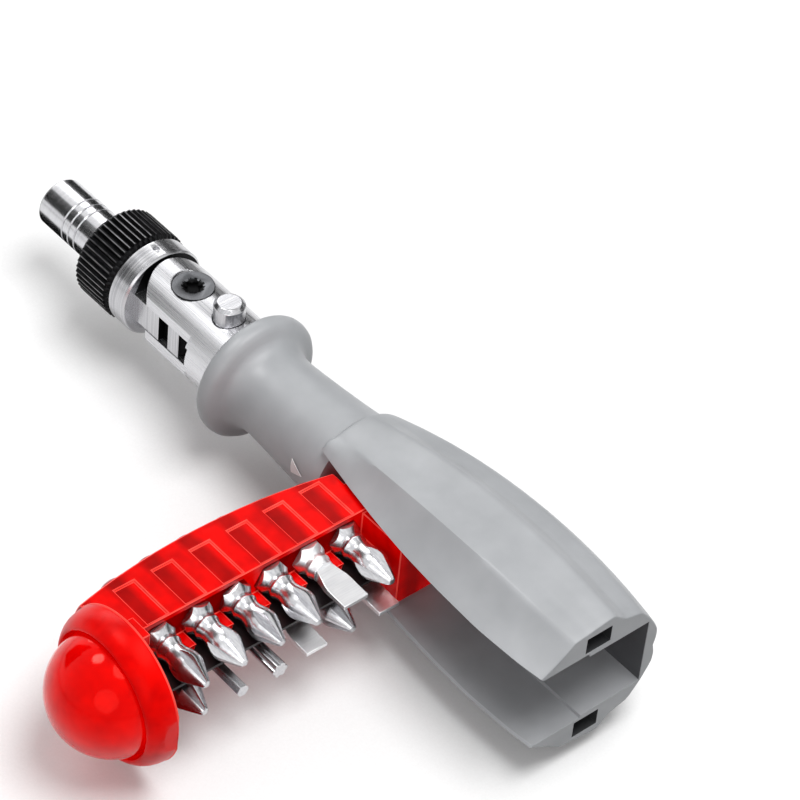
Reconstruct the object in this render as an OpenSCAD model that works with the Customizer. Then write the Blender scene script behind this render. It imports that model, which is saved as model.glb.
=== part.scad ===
// Ratcheting screwdriver with a folding head and a swing-out magazine of twelve bits.
// The driver's axis is X. The socket's mouth is at the origin, and the handle lies behind it.
// +Z runs along the pivot screw and the lock button. +Y is the side that the magazine opens to.
// It is drawn with the magazine pulled out and swung open, square to the handle.

/* [Socket] */
// Width across flats of the hex bits
hex_af = 6.35; // [6:0.05:6.5]
// Clearance across the flats of the driving socket
hex_slack = 0.1; // [0.05:0.05:0.2]
// Outside diameter of the socket tube
socket_d = 10.8; // [10.4:0.1:11]
// Length of tube that stands out of the front cap
socket_len = 18; // [16:0.5:24]
// Depth of the hex hole
hex_depth = 12; // [10:0.5:14]
// Diameter of the round lead-in at the mouth
lead_d = 8.6; // [8:0.1:9]
// Depth of the round lead-in
lead_depth = 1; // [0.5:0.1:1.5]
// Length of the tube's full diameter, up to its bearing in the cap
barrel_len = 17.2; // [15:0.1:17.4]
// Diameter of the tube's bearing in the cap
bearing_d = 10; // [9.6:0.1:10.2]
// Edge chamfer of the tube
socket_chamfer = 0.6; // [0.3:0.1:0.8]
// Distance from the mouth to the first engraved line
line_start = 8; // [6:0.5:9]
// Distance between the three engraved lines
line_step = 2; // [1.5:0.1:2.2]
// Width of an engraved line
line_w = 0.25; // [0.15:0.05:0.4]
// Depth of an engraved line
line_depth = 0.1; // [0.05:0.05:0.2]
// Diameter of the magnet under the bit
magnet_d = 5; // [4:0.5:5.5]
// Thickness of the magnet
magnet_t = 2; // [1.5:0.5:2.5]

/* [Front cap] */
// Outside diameter of the bright lip
cap_d = 18.8; // [18.4:0.1:19.6]
// Thickness of the lip
cap_t = 1.6; // [1.4:0.1:2]
// Diameter of the dish at its mouth
dish_d = 15.4; // [14:0.2:16]
// Diameter of the dish at its floor
dish_floor_d = 11.8; // [11.6:0.1:12.4]
// Depth of the dish
dish_depth = 1.4; // [1:0.1:1.5]
// Diameter of the cap's threaded sleeve
sleeve_d = 12.6; // [12.4:0.1:12.6]
// Length of the threaded sleeve
sleeve_len = 3.4; // [3:0.1:3.5]

/* [Selector ring] */
// Thickness of the ring from its bore to its ribs
ring_t = 1.9; // [1.8:0.05:2.2]
// Length of the ring
ring_len = 9.3; // [9:0.1:10]
// Number of ribs
ring_ribs = 48; // [40:4:60]
// Depth of the grooves between the ribs
rib_depth = 0.5; // [0.3:0.05:0.55]
// Chamfer at both ends of the ring
ring_chamfer = 0.5; // [0.3:0.1:0.7]
// Turn of the ring from one direction to the other, in degrees
ring_turn = 30; // [28:1:32]
// Wall left over the pawls, measured from the rib tips
ring_wall = 1.3; // [1.2:0.05:1.35]

/* [Ratchet] */
// Number of teeth on the ratchet wheel
gear_teeth = 24; // [24:12:24]
// Diameter over the teeth
gear_d = 9.6; // [9.4:0.1:9.7]
// Depth of a tooth
tooth_depth = 0.8; // [0.7:0.05:0.85]
// Width of the wheel
gear_w = 4; // [3.6:0.1:4.2]
// Diameter of the spindle's hub in the wheel
hub_d = 5.2; // [4.8:0.1:5.6]
// Diameter of the spindle's rear journal
journal_d = 4; // [3.6:0.1:4.2]
// Length of the journal in the housing
journal_len = 2.8; // [2.4:0.1:3]
// Diameter of the shoulder that the cap holds back
shoulder_d = 11.8; // [11.6:0.1:12]
// Thickness of that shoulder
shoulder_t = 1.2; // [1:0.1:1.4]
// Thickness of the thrust washer
washer_t = 0.5; // [0.4:0.05:0.6]
// Radius from the axis to a pawl's pin
pawl_pin_r = 7; // [6.95:0.05:7.05]
// Diameter of a pawl's pin
pawl_pin_d = 1.2; // [1:0.1:1.3]
// Rock of a pawl between its two places, in degrees
pawl_rock = 17.5; // [16:0.5:18]
// Diameter of the detent ball
ball_d = 1.6; // [1.4:0.1:1.7]
// Wire of the pawl spring
pawl_wire = 0.5; // [0.4:0.05:0.6]

/* [Housing] */
// Diameter of the collar behind the ring
collar_d = 19.6; // [19.2:0.1:20]
// Length of the collar
collar_len = 5; // [4.8:0.1:5.6]
// Edge chamfer of the collar
collar_chamfer = 0.4; // [0.2:0.1:0.6]
// Diameter of the core that the ring turns on
core_d = 16.6; // [16.4:0.1:16.7]
// Diameter of the small index dot
dot_d = 1.4; // [1:0.1:1.8]
// Depth of the index dot
dot_depth = 0.5; // [0.3:0.1:0.8]

/* [Folding joint] */
// Distance from the collar's rear face to the pivot
pivot_reach = 9.4; // [9.4:0.1:10]
// Thickness of the tongue
tongue_t = 6.2; // [5.6:0.1:6.6]
// Width of the tongue over its flats
tongue_w = 14; // [13:0.2:14.4]
// Radius of the tongue's round rear end
tongue_r = 9; // [8.6:0.1:9]
// Width of a lock notch
notch_w = 3; // [2.6:0.1:3.4]
// Depth of a lock notch
notch_depth = 1.6; // [1.2:0.1:2]
// Angle between lock notches, in degrees
notch_step = 45; // [45:45:45]
// Diameter of the fork
fork_d = 18.2; // [18:0.1:18.4]
// Radius of the ears' round ends
ear_r = 9; // [8.8:0.1:9.05]
// Width of the fork over its milled flats
fork_flat_w = 14.4; // [14.2:0.1:15]
// Distance from the pivot back to where the flats end
flat_back = 8.6; // [8.2:0.1:9]
// Distance from the pivot back to the fork's shoulder in the flange
fork_back = 19.6; // [19.3:0.1:20]
// Gap between the tongue and each ear
ear_gap = 0.15; // [0.1:0.05:0.2]
// Diameter of the pivot screw
pivot_d = 5; // [4.6:0.1:5.2]
// Diameter of the pivot screw's countersunk head
pivot_head_d = 9; // [8.6:0.1:9.4]
// Height of the countersunk head
pivot_head_t = 2; // [1.8:0.1:2.2]
// Diameter of the screw's thread in the nut
pivot_thread_d = 3.2; // [3:0.1:3.4]
// Size of the star recess
star_d = 3.6; // [3.2:0.1:4]

/* [Lock button] */
// Distance from the pivot back to the button
button_back = 11.3; // [11.2:0.05:11.5]
// Diameter of the button
button_d = 6.4; // [6:0.1:6.6]
// Height of the button over the fork's top
button_rise = 3.8; // [3.4:0.1:4.2]
// Diameter of the button's waist
waist_d = 3.8; // [3.4:0.1:4]
// Travel of the button
button_travel = 1.8; // [1.4:0.1:1.9]
// Chamfer on the button's top
button_chamfer = 0.8; // [0.5:0.1:1]
// Thickness of the button's foot
foot_t = 1.6; // [1.4:0.1:1.8]
// Thickness of the plug under the spring
plug_t = 1; // [0.8:0.1:1.2]
// Wire of the lock spring
lock_wire = 0.45; // [0.4:0.05:0.5]
// Turns of the lock spring
lock_turns = 2; // [2:1:2]

/* [Neck] */
// Diameter of the flange
flange_d = 27.2; // [26:0.2:28]
// Thickness of the flange
flange_t = 4.4; // [4:0.1:5]
// Distance from the fork's shoulder forward to the flange's face
flange_lip = 1.5; // [1.2:0.1:2]
// Diameter of the neck behind the flange
neck_d = 17.2; // [16.8:0.1:18]
// Diameter of the neck at the handle
neck_rear_d = 21.6; // [21:0.1:22.4]
// Diameter of the bore in the neck
neck_bore_d = 15; // [14:0.1:15.2]
// Width across flats of the fork's hex tail
tail_af = 9.6; // [9:0.1:10]
// Length of the fork's tail
tail_len = 24; // [22:0.5:25]
// Diameter of the screw that holds the tail
shank_screw_d = 4; // [4:0.5:4]
// Length of the arrow printed on the neck
arrow_len = 5; // [4:0.2:6]
// Width of the printed arrow
arrow_w = 5; // [4:0.2:6]
// Thickness of the print
print_t = 0.12; // [0.1:0.02:0.2]

/* [Handle] */
// Distance from the mouth to the front of the handle
handle_front = 94; // [93:0.5:96]
// Distance from the last bit to the butt
row_end = 8.6; // [8:0.1:9.4]
// Distance from the mouth to the handle's thickest place
handle_mid = 135; // [132:0.5:138]
// Thickness of the handle's back wall at its thickest place
back_wall = 5.8; // [5.5:0.1:6.2]
// Radius of the handle's long curve
handle_curve = 150; // [140:5:170]
// Radius of a long groove
groove_r = 5; // [4:0.5:7]
// Depth of a long groove
groove_depth = 1.1; // [0.8:0.1:1.3]
// Rounding of the handle's front edge
handle_round = 2; // [1:0.25:2.5]
// Thickness of the wall in front of the channel
front_wall = 2.1; // [2:0.1:3]
// Room between the bits' tips and the channel's back wall
tip_room = 1; // [0.8:0.1:1.2]
// Height of the channel along its back
channel_h = 15.6; // [15.4:0.1:16]
// Height of the channel along its opening
mouth_h = 17.2; // [17:0.1:17.6]
// Place of the step between the two heights
step_y = 2.3; // [2:0.1:2.4]
// Diameter of the hinge pin
hinge_d = 3; // [2.6:0.1:3.2]
// Depth of a pin slot in a jaw
slot_depth = 2; // [1.6:0.1:2.2]
// Travel of the magazine along the handle
slide_travel = 6.7; // [6.4:0.1:6.8]
// Width of a latch hole
latch_w = 5.8; // [5:0.1:6.4]
// Height of a latch hole
latch_h = 3.2; // [2.8:0.1:3.4]
// Depth of a latch hole
latch_depth = 3.8; // [3.6:0.1:4.5]
// Wall between a latch hole and the channel
latch_wall = 1.4; // [1.2:0.1:1.6]
// Shift of the latch holes toward the opening
latch_shift = 0.6; // [0.2:0.1:1]

/* [Magazine] */
// Distance from the mouth to the hinge pin with the magazine pulled out
hinge_back = 107.2; // [107:0.1:107.6]
// Shift of the hinge pin toward the opening
hinge_y = 6; // [5.8:0.1:6.1]
// Thickness of the magazine
magazine_h = 16.4; // [16.2:0.1:16.4]
// Thickness of the magazine's hinge block
block_h = 14.8; // [14.2:0.1:15]
// Radius of the hinge block's round end
block_r = 4; // [3.6:0.1:4]
// Length of the hinge block behind the pin
block_len = 6; // [5:0.1:6]
// Reach of the magazine's walls in front of the pin
near_len = 3.2; // [2.6:0.1:3.3]
// Depth of the hinge block toward the back wall
block_depth = 14.4; // [13.5:0.1:16]
// Place of the socket rims with the magazine closed
rim_y = 2.7; // [2.6:0.1:3]
// Bulge of the magazine over the handle's curve
bulge = 0.6; // [0.4:0.1:0.8]
// Radius of a bump over a bit socket
bump_r = 4.4; // [4:0.1:4.6]
// Height of a bump
bump_h = 0.9; // [0.6:0.1:1.1]
// Length of the matte ring behind the jaws
shoulder_len = 5.6; // [5:0.2:6.6]
// Rounding of the matte ring's rear edge
shoulder_round = 1.8; // [1.2:0.1:2]
// Radius of the matte ring at that edge
shoulder_r = 14.7; // [14.2:0.1:14.8]
// Distance from the ring's rear face forward to the dome's centre
dome_forward = 2.3; // [1.8:0.1:2.6]
// Radius of the polished dome
dome_r = 12.3; // [12:0.1:12.5]
// Diameter of the spigot that holds the dome
spigot_d = 16; // [14:0.5:18]
// Length of the dome's spigot
spigot_len = 3; // [2:0.5:4]
// Thickness of the dark plate between the rows
divider_t = 0.6; // [0.5:0.1:0.7]
// Reach of the plate past the socket rims
divider_reach = 9; // [8:0.5:9.5]
// Depth of the plate in its groove
divider_seat = 2.4; // [2:0.2:3]
// Depth of a side panel between two ribs
panel_depth = 0.5; // [0.3:0.1:0.6]
// Width of a side panel
panel_w = 4.6; // [4:0.1:5]

/* [Bits] */
// Number of bits in a row
bits_per_row = 6; // [6:1:6]
// Distance between neighbouring bits
bit_pitch = 8.56; // [8.5:0.02:8.6]
// Distance from the hinge pin to the first bit
first_bit = 10.3; // [10.2:0.1:10.6]
// Distance from the middle plane to a row of bits
row_z = 3.6; // [3.58:0.01:3.65]
// Length of a bit
bit_len = 25; // [24.6:0.1:25.2]
// Length of a bit's hex shank
shank_len = 12.4; // [12:0.1:13]
// Depth of a bit socket in the magazine
pocket_depth = 11; // [10.6:0.1:11.2]
// Clearance across the flats of a bit socket
pocket_slack = 0.2; // [0.1:0.05:0.25]
// Diameter of a bit's neck
bit_neck_d = 3.8; // [3.6:0.1:4]
// Diameter of a bit's bead
bit_bead_d = 4.8; // [4.6:0.1:5]
// Distance from a bit's shank to its bead
bead_gap = 1.8; // [1.4:0.1:2.2]
// Diameter of a cross point
cross_d = 5.4; // [5:0.1:5.8]
// Length of a cross point's flare
flare_len = 1.6; // [1:0.1:2]
// Diameter of a cross point's end
point_d = 1.3; // [1:0.1:1.6]
// Thickness of a flat blade
blade_t = 0.9; // [0.7:0.1:1.1]
// Width of the widest flat blade
blade_w = 5.6; // [5:0.1:6]
// Width of the hex key over its corners
key_d = 2.7; // [2.4:0.1:3]
// Width of the star key over its lobes
star_key_d = 3.4; // [3:0.1:3.6]
// Length of a key's taper
key_taper = 3; // [2.5:0.1:3.5]

/* [Hidden] */

// Fits and gaps
run_fit = 0.1; // radial clearance of what turns or slides in a bore
still_fit = 0.05; // radial clearance of what stands still in a bore
seat_gap = 0.3; // gap between pieces that don't touch
over = 1; // how far a cutter runs past what it cuts
round_fn = 96;
small_fn = 32;
arc_fn = 720;

ring_d = core_d + 2 * ring_t;

// Places along the axis, from the mouth backward
cap_x = -socket_len;
core_x = cap_x - cap_t;
ring_x = core_x - seat_gap;
collar_x = ring_x - ring_len - seat_gap;
tongue_x = collar_x - collar_len;
pivot_x = tongue_x - pivot_reach;
button_x = pivot_x - button_back;
shoulder_x = pivot_x - fork_back;
flange_x = shoulder_x + flange_lip;
neck_x = flange_x - flange_t;
front_x = -handle_front;
butt_x = -hinge_back + slide_travel - first_bit - (bits_per_row - 1) * bit_pitch - row_end;
channel_x = front_x - front_wall;
channel_back = bit_len - rim_y - pocket_depth + tip_room;
handle_d = 2 * (channel_back + back_wall);

// The ratchet's inner places
gear_x = collar_x - washer_t + seat_gap;
gear_front_x = gear_x + gear_w;
floor_x = gear_x - washer_t - run_fit;
cavity_r = gear_d / 2 + 4 * run_fit;
shoulder_rear_x = gear_front_x + seat_gap;
shoulder_front_x = shoulder_rear_x + shoulder_t;
sleeve_x = core_x - sleeve_len;
ring_relief_r = ring_d / 2 - ring_wall;
lobe_r = pawl_pin_r + pawl_pin_d / 2;
pawl_angle = 30; // from the middle of the ring's lobe to a pawl's pin
lobe_angle = ring_turn / 2;
tooth_angle = 3.5 * 360 / gear_teeth; // from there to a pawl's tooth, at a gap of the wheel
tooth_spread = 8.2; // half of the angle that a tooth spans at its root
window_half = tooth_angle + tooth_spread + 5; // half of the window's angle
tooth_bite_share = 0.56; // how much of the wheel's tooth depth a pawl's tooth fills
pawl_boss_share = 0.88; // radius of a pawl round its pin, as a share of the pin's diameter
// A pawl's outline from its tooth's root round to its back, as shares of the pin's radius and as angles
pawl_shares = [0.8, 0.82, 0.88, 0.9, 1.12, 1.13, 1.04, 1.1, 1.06, 1, 0.91, 0.8];
pawl_turns = [tooth_angle - tooth_spread, 34, 25, 9, 9, 13, 20, pawl_angle, 36, 46, 56, tooth_angle + tooth_spread];
pawl_side = -90; // the pawls sit under the axis

// The magazine's places, with it closed and latched
hinge_home_x = -hinge_back + slide_travel;
shoulder_face_x = butt_x - seat_gap;
ring_end_x = shoulder_face_x - shoulder_len;
row_start_x = hinge_home_x - first_bit;
pocket_floor_y = rim_y + pocket_depth;
deep_x = row_start_x + hex_af / 2 / cos(30) + seat_gap;
hinge_room = sqrt(pow(block_r, 2) + pow(block_depth, 2)) - hinge_y + seat_gap;
magazine_z = magazine_h / 2;

function bit_x(i) = row_start_x - i * bit_pitch;

// A bar along X, from x0 forward or backward by length
module bar(x0, x1, r) {
    translate([min(x0, x1), 0, 0]) rotate([0, 90, 0]) cylinder(h = abs(x1 - x0), r = r, $fn = round_fn);
}

// A cone along X
module taper(x0, r0, x1, r1) {
    translate([min(x0, x1), 0, 0]) rotate([0, 90, 0])
        cylinder(h = abs(x1 - x0), r1 = x0 < x1 ? r0 : r1, r2 = x0 < x1 ? r1 : r0, $fn = round_fn);
}

// A flat outline drawn in Y and Z and extruded along X
module slab(x0, x1) {
    translate([min(x0, x1), 0, 0]) rotate([90, 0, 90]) linear_extrude(abs(x1 - x0)) children();
}

// A box from one corner to the other
module block(from, to) {
    translate(from) cube(to - from);
}

// A bar along X with a chamfer at each end
module chamfered_bar(x0, x1, r, chamfer) {
    front = max(x0, x1);
    rear = min(x0, x1);
    bar(front - chamfer, rear + chamfer, r);
    taper(front - chamfer, r, front, r - chamfer);
    taper(rear, r - chamfer, rear + chamfer, r);
}

// The handle's long curve turned about the axis
module barrel(grow, x0, x1) {
    rotate([0, 90, 0]) rotate_extrude($fn = round_fn) intersection() {
        translate([handle_d / 2 + grow - handle_curve, -handle_mid]) circle(r = handle_curve, $fn = arc_fn);
        translate([0, min(x0, x1)]) square([handle_d, abs(x1 - x0)]);
    }
}

// The long grooves that follow the handle's curve
module long_grooves() {
    angles = [50, 115, 180, -115, -50];
    for (a = angles)
        rotate([a, 0, 0]) translate([-handle_mid, handle_d / 2 - handle_curve, 0])
            rotate_extrude($fn = arc_fn)
                translate([handle_curve + groove_r - groove_depth, 0]) circle(r = groove_r, $fn = small_fn);
}

// Draws what is inside it, in the closed and latched place, at the open place
module opened() {
    translate([-hinge_back, hinge_y, 0]) rotate([0, 0, -90])
        translate([-hinge_home_x, -hinge_y, 0]) children();
}

module handle_shell() {
    latch_z = channel_h / 2 + latch_wall;
    color("darkgray") difference() {
        union() {
            difference() {
                barrel(0, butt_x, front_x);
                long_grooves();
                // the rounded front edge
                front_r = handle_d / 2;
                difference() {
                    bar(front_x - handle_round, front_x + over, front_r);
                    taper(front_x - handle_round, front_r - handle_round, front_x, neck_rear_d / 2 + seat_gap);
                    taper(front_x, neck_rear_d / 2 + seat_gap, front_x + 2 * over, neck_rear_d / 2);
                }
            }
            // the spigot inside the neck
            bar(front_x, shoulder_x - seat_gap - over, neck_bore_d / 2 - still_fit);
        }
        // the channel: deep along the bits, and shallower at the hinge, where the handle is slim
        block([butt_x - over, -channel_back, -channel_h / 2], [deep_x, step_y, channel_h / 2]);
        block([deep_x - over, -hinge_room, -channel_h / 2], [channel_x, step_y, channel_h / 2]);
        block([butt_x - over, step_y - over, -mouth_h / 2], [channel_x, handle_d, mouth_h / 2]);
        // the slots that the hinge pin slides in
        pin_r = hinge_d / 2 + run_fit;
        slot_half = mouth_h / 2 + slot_depth;
        for (x = [-hinge_back, hinge_home_x]) translate([x, hinge_y, -slot_half])
            cylinder(h = 2 * slot_half, r = pin_r, $fn = round_fn);
        block([-hinge_back, hinge_y - pin_r, -slot_half], [hinge_home_x, hinge_y + pin_r, slot_half]);
        // the latch holes in the ends of the jaws
        for (side = [-1, 1])
            translate([butt_x - over, latch_shift - latch_w / 2, side * (latch_z + latch_h / 2) - latch_h / 2])
                cube([latch_depth + over, latch_w, latch_h]);
        // the hex hole for the fork's tail and the holes for its screw
        slab(shoulder_x, shoulder_x - tail_len - seat_gap)
            circle(d = (tail_af + 2 * still_fit) / cos(30), $fn = 6);
        bar(channel_x - over, shoulder_x - tail_len, shank_screw_d / 2 + run_fit);
        bar(channel_x - over, channel_x + shank_screw_d + seat_gap, shank_screw_d);
    }
}

module neck_sleeve() {
    rim = flange_t / 2;
    color("darkgray") difference() {
        union() {
            taper(neck_x, neck_d / 2, front_x, neck_rear_d / 2);
            bar(flange_x, neck_x, flange_d / 2 - rim);
            rotate([0, 90, 0]) translate([0, 0, flange_x - rim])
                rotate_extrude($fn = round_fn) translate([flange_d / 2 - rim, 0]) circle(r = rim, $fn = small_fn);
            taper(neck_x, neck_d / 2 + rim / 2, neck_x - rim / 2, neck_d / 2);
        }
        bar(flange_x + over, shoulder_x, fork_d / 2 + still_fit);
        bar(flange_x, front_x - over, neck_bore_d / 2);
    }
}

module neck_arrow() {
    tip_x = front_x + arrow_len;
    color("white") intersection() {
        difference() {
            taper(neck_x, neck_d / 2 + print_t, front_x, neck_rear_d / 2 + print_t);
            taper(neck_x + over, neck_d / 2, front_x, neck_rear_d / 2);
        }
        translate([tip_x, 0, 0]) rotate([-90, 0, 0]) linear_extrude(flange_d)
            polygon([[0, 0], [arrow_len, arrow_w / 2], [arrow_len, -arrow_w / 2]]);
    }
}

module shank_clevis() {
    slot_z = tongue_t / 2 + ear_gap;
    slot_x = pivot_x - tongue_r - seat_gap;
    head_z = fork_d / 2 - pivot_head_t - seat_gap;
    color("silver") difference() {
        union() {
            intersection() {
                bar(shoulder_x, pivot_x + ear_r, fork_d / 2);
                union() {
                    block([shoulder_x, -fork_d / 2, -fork_d / 2], [pivot_x, fork_d / 2, fork_d / 2]);
                    translate([pivot_x, 0, -fork_d / 2]) cylinder(h = fork_d, r = ear_r, $fn = round_fn);
                }
            }
            slab(shoulder_x + over, shoulder_x - tail_len) circle(d = tail_af / cos(30), $fn = 6);
        }
        // the slot for the tongue, and the milled flats
        block([slot_x, -fork_d, -slot_z], [pivot_x + fork_d, fork_d, slot_z]);
        for (side = [-1, 1])
            translate([pivot_x - flat_back, side * (fork_d + fork_flat_w) / 2 - fork_d / 2, -fork_d / 2])
                cube([flat_back + fork_d, fork_d, fork_d]);
        // the pivot's hole and its two countersinks
        translate([pivot_x, 0, -fork_d]) cylinder(h = 2 * fork_d, r = pivot_d / 2 + still_fit, $fn = round_fn);
        for (side = [0, 1]) mirror([0, 0, side]) translate([pivot_x, 0, head_z - still_fit]) {
            cylinder(h = pivot_head_t, r1 = pivot_d / 2, r2 = pivot_head_d / 2 + still_fit, $fn = round_fn);
            translate([0, 0, pivot_head_t])
                cylinder(h = fork_d, r = pivot_head_d / 2 + still_fit, $fn = round_fn);
        }
        // the lock button's hole
        translate([button_x, 0, -fork_d]) cylinder(h = 2 * fork_d, r = button_d / 2 + run_fit, $fn = round_fn);
        // the thread for the tail's screw
        bar(shoulder_x - tail_len - over, shoulder_x - tail_len / 2, shank_screw_d / 2 + still_fit);
    }
}

module shank_screw() {
    head_x = channel_x + seat_gap;
    color("dimgray") difference() {
        union() {
            bar(head_x, head_x + shank_screw_d, shank_screw_d - run_fit * 2);
            bar(head_x, shoulder_x - tail_len / 2 - seat_gap, shank_screw_d / 2);
        }
        slab(head_x - over, head_x + shank_screw_d / 2) circle(d = shank_screw_d, $fn = 6);
    }
}

module hinge_pin() {
    half = mouth_h / 2 + slot_depth - seat_gap;
    color("silver") translate([-hinge_back, hinge_y, -half])
        cylinder(h = 2 * half, r = hinge_d / 2, $fn = round_fn);
}

module pivot_screw() {
    head_z = fork_d / 2 - pivot_head_t - seat_gap;
    thread_z = -tongue_t / 2 - ear_gap;
    depth = pivot_head_t / 2;
    color("dimgray") translate([pivot_x, 0, 0]) difference() {
        union() {
            translate([0, 0, head_z])
                cylinder(h = pivot_head_t, r1 = pivot_d / 2, r2 = pivot_head_d / 2, $fn = round_fn);
            translate([0, 0, thread_z]) cylinder(h = head_z - thread_z, r = pivot_d / 2, $fn = round_fn);
            translate([0, 0, -head_z - pivot_head_t / 2])
                cylinder(h = 2 * head_z, r = pivot_thread_d / 2, $fn = round_fn);
        }
        translate([0, 0, head_z + pivot_head_t - depth]) {
            cylinder(h = pivot_head_t, r = star_d / 3, $fn = small_fn);
            for (a = [0:60:300]) rotate([0, 0, a]) translate([star_d / 3, 0, 0])
                cylinder(h = pivot_head_t, r = star_d / 6, $fn = small_fn);
            translate([0, 0, depth / 2]) cylinder(h = depth, r1 = star_d / 3, r2 = star_d, $fn = round_fn);
        }
    }
}

module pivot_nut() {
    head_z = fork_d / 2 - pivot_head_t - seat_gap;
    top_z = tongue_t / 2 + ear_gap + run_fit;
    color("dimgray") mirror([0, 0, 1]) translate([pivot_x, 0, 0]) difference() {
        union() {
            translate([0, 0, head_z])
                cylinder(h = pivot_head_t, r1 = pivot_d / 2, r2 = pivot_head_d / 2, $fn = round_fn);
            translate([0, 0, top_z]) cylinder(h = head_z - top_z, r = pivot_d / 2, $fn = round_fn);
        }
        cylinder(h = fork_d, r = pivot_thread_d / 2 + still_fit, $fn = round_fn);
    }
}

// The button's heights: its foot lies just under the tongue
foot_top_z = -tongue_t / 2 - seat_gap;
foot_z = foot_top_z - foot_t;
plug_z = -fork_d / 2 + plug_t + run_fit;

module lock_button() {
    head_z = tongue_t / 2 + ear_gap + button_travel + seat_gap;
    top_z = fork_d / 2 + button_rise;
    r = button_d / 2;
    color("silver") translate([button_x, 0, 0]) {
        translate([0, 0, top_z - button_chamfer])
            cylinder(h = button_chamfer, r1 = r, r2 = r - button_chamfer, $fn = round_fn);
        translate([0, 0, head_z]) cylinder(h = top_z - button_chamfer - head_z, r = r, $fn = round_fn);
        translate([0, 0, foot_z]) cylinder(h = head_z - foot_z, r = waist_d / 2, $fn = round_fn);
        translate([0, 0, foot_z]) cylinder(h = foot_t, r = r, $fn = round_fn);
    }
}

// A coil along Z from z0 to z1, as one unbroken wire with flat ends
module coil(z0, z1, r, wire, turns, sides, steps) {
    ring = [for (k = [0:sides - 1]) 360 * k / sides];
    lift = (z1 - z0 - wire) / (turns * steps);
    points = [for (i = [0:turns * steps], a = ring)
        let (t = 360 * i / steps, out = r + wire / 2 * cos(a))
        [out * cos(t), out * sin(t), z0 + wire / 2 + i * lift + wire / 2 * sin(a)]];
    last = turns * steps * sides;
    sides_faces = [for (i = [0:turns * steps - 1], k = [0:sides - 1])
        let (n = (k + 1) % sides)
        each [[i * sides + k, (i + 1) * sides + k, i * sides + n],
              [i * sides + n, (i + 1) * sides + k, (i + 1) * sides + n]]];
    start_face = [[for (k = [0:sides - 1]) k]];
    end_face = [[for (k = [sides - 1:-1:0]) last + k]];
    polyhedron(points = points, faces = concat(sides_faces, start_face, end_face), convexity = 6);
}

module lock_spring() {
    color("silver") translate([button_x, 0, 0])
        coil(plug_z + run_fit, foot_z - run_fit, button_d / 2 - lock_wire, lock_wire, lock_turns, 6, 16);
}

module lock_plug() {
    color("dimgray") translate([button_x, 0, plug_z - plug_t]) difference() {
        cylinder(h = plug_t, r = button_d / 2 + still_fit, $fn = round_fn);
        translate([-button_d / 3, -line_w, -over]) cube([button_d * 2 / 3, 2 * line_w, over + plug_t / 2]);
    }
}

// The tongue's outline with its lock notches
module tongue_outline() {
    difference() {
        union() {
            intersection() {
                circle(r = tongue_r, $fn = round_fn);
                square([2 * tongue_r, tongue_w], center = true);
            }
            translate([0, -tongue_w / 2]) square([pivot_reach, tongue_w]);
        }
        for (k = [-1, 0, 1]) rotate(180 + k * notch_step)
            translate([tongue_r - notch_depth, -notch_w / 2]) square([2 * notch_depth, notch_w]);
        for (side = [-1, 1]) translate([-notch_w / 2, side * tongue_w / 2 - notch_depth])
            square([notch_w, 2 * notch_depth]);
    }
}

module ratchet_housing() {
    window_front = gear_front_x - run_fit;
    window_rear = gear_x + run_fit;
    color("silver") difference() {
        union() {
            chamfered_bar(collar_x, tongue_x, collar_d / 2, collar_chamfer);
            bar(core_x, collar_x - collar_chamfer, core_d / 2);
            translate([pivot_x, 0, -tongue_t / 2]) linear_extrude(tongue_t) tongue_outline();
        }
        bar(core_x + over, sleeve_x - run_fit, sleeve_d / 2 + still_fit);
        bar(core_x, shoulder_rear_x - run_fit, shoulder_d / 2 + 2 * run_fit);
        bar(core_x, floor_x, cavity_r);
        bar(core_x, floor_x - journal_len, journal_d / 2 + run_fit);
        // the window that the pawls and the ring's lobe work in
        slab(window_front, window_rear) rotate(pawl_side) pawl_window();
        pawl_pin_holes();
        // the ball's hole
        translate([(gear_x + gear_front_x) / 2, 0, cavity_r + ball_d / 2])
            cylinder(h = core_d, r = ball_d / 2 + run_fit, $fn = small_fn);
        // the groove of the pawls' spring
        spring_x = (gear_x + gear_front_x) / 2;
        slab(spring_x - pawl_wire / 2 - run_fit, spring_x + pawl_wire / 2 + run_fit) difference() {
            circle(r = core_d / 2 + over, $fn = round_fn);
            circle(r = core_d / 2 - pawl_wire - 2 * run_fit, $fn = round_fn);
        }
        translate([pivot_x, 0, -tongue_t]) cylinder(h = 2 * tongue_t, r = pivot_d / 2 + run_fit, $fn = round_fn);
        // the index dot on the collar's top
        translate([(collar_x + tongue_x) / 2, 0, collar_d / 2 - dot_depth])
            cylinder(h = over + dot_depth, r = dot_d / 2, $fn = small_fn);
    }
}

module pawl_window() {
    far = core_d;
    difference() {
        polygon([[0, 0], [far * cos(window_half), -far * sin(window_half)], [far, -far],
            [far, far], [far * cos(window_half), far * sin(window_half)]]);
        circle(r = cavity_r - run_fit, $fn = round_fn);
    }
}

module pawl_pin_holes() {
    for (side = [-1, 1]) rotate([pawl_side + side * pawl_angle, 0, 0])
        translate([0, pawl_pin_r, 0])
            bar(shoulder_front_x - shoulder_t / 2, collar_x - pawl_pin_d, pawl_pin_d / 2 + still_fit);
}

module pawl_pins() {
    color("silver") for (side = [-1, 1]) rotate([pawl_side + side * pawl_angle, 0, 0])
        translate([0, pawl_pin_r, 0])
            bar(shoulder_front_x - shoulder_t / 2 - seat_gap, collar_x - pawl_pin_d + run_fit, pawl_pin_d / 2);
}

// A point at a share of the pin's radius and an angle from the lobe's middle
function at_share(share, a) = pawl_pin_r * share * [cos(a), sin(a)];

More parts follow.
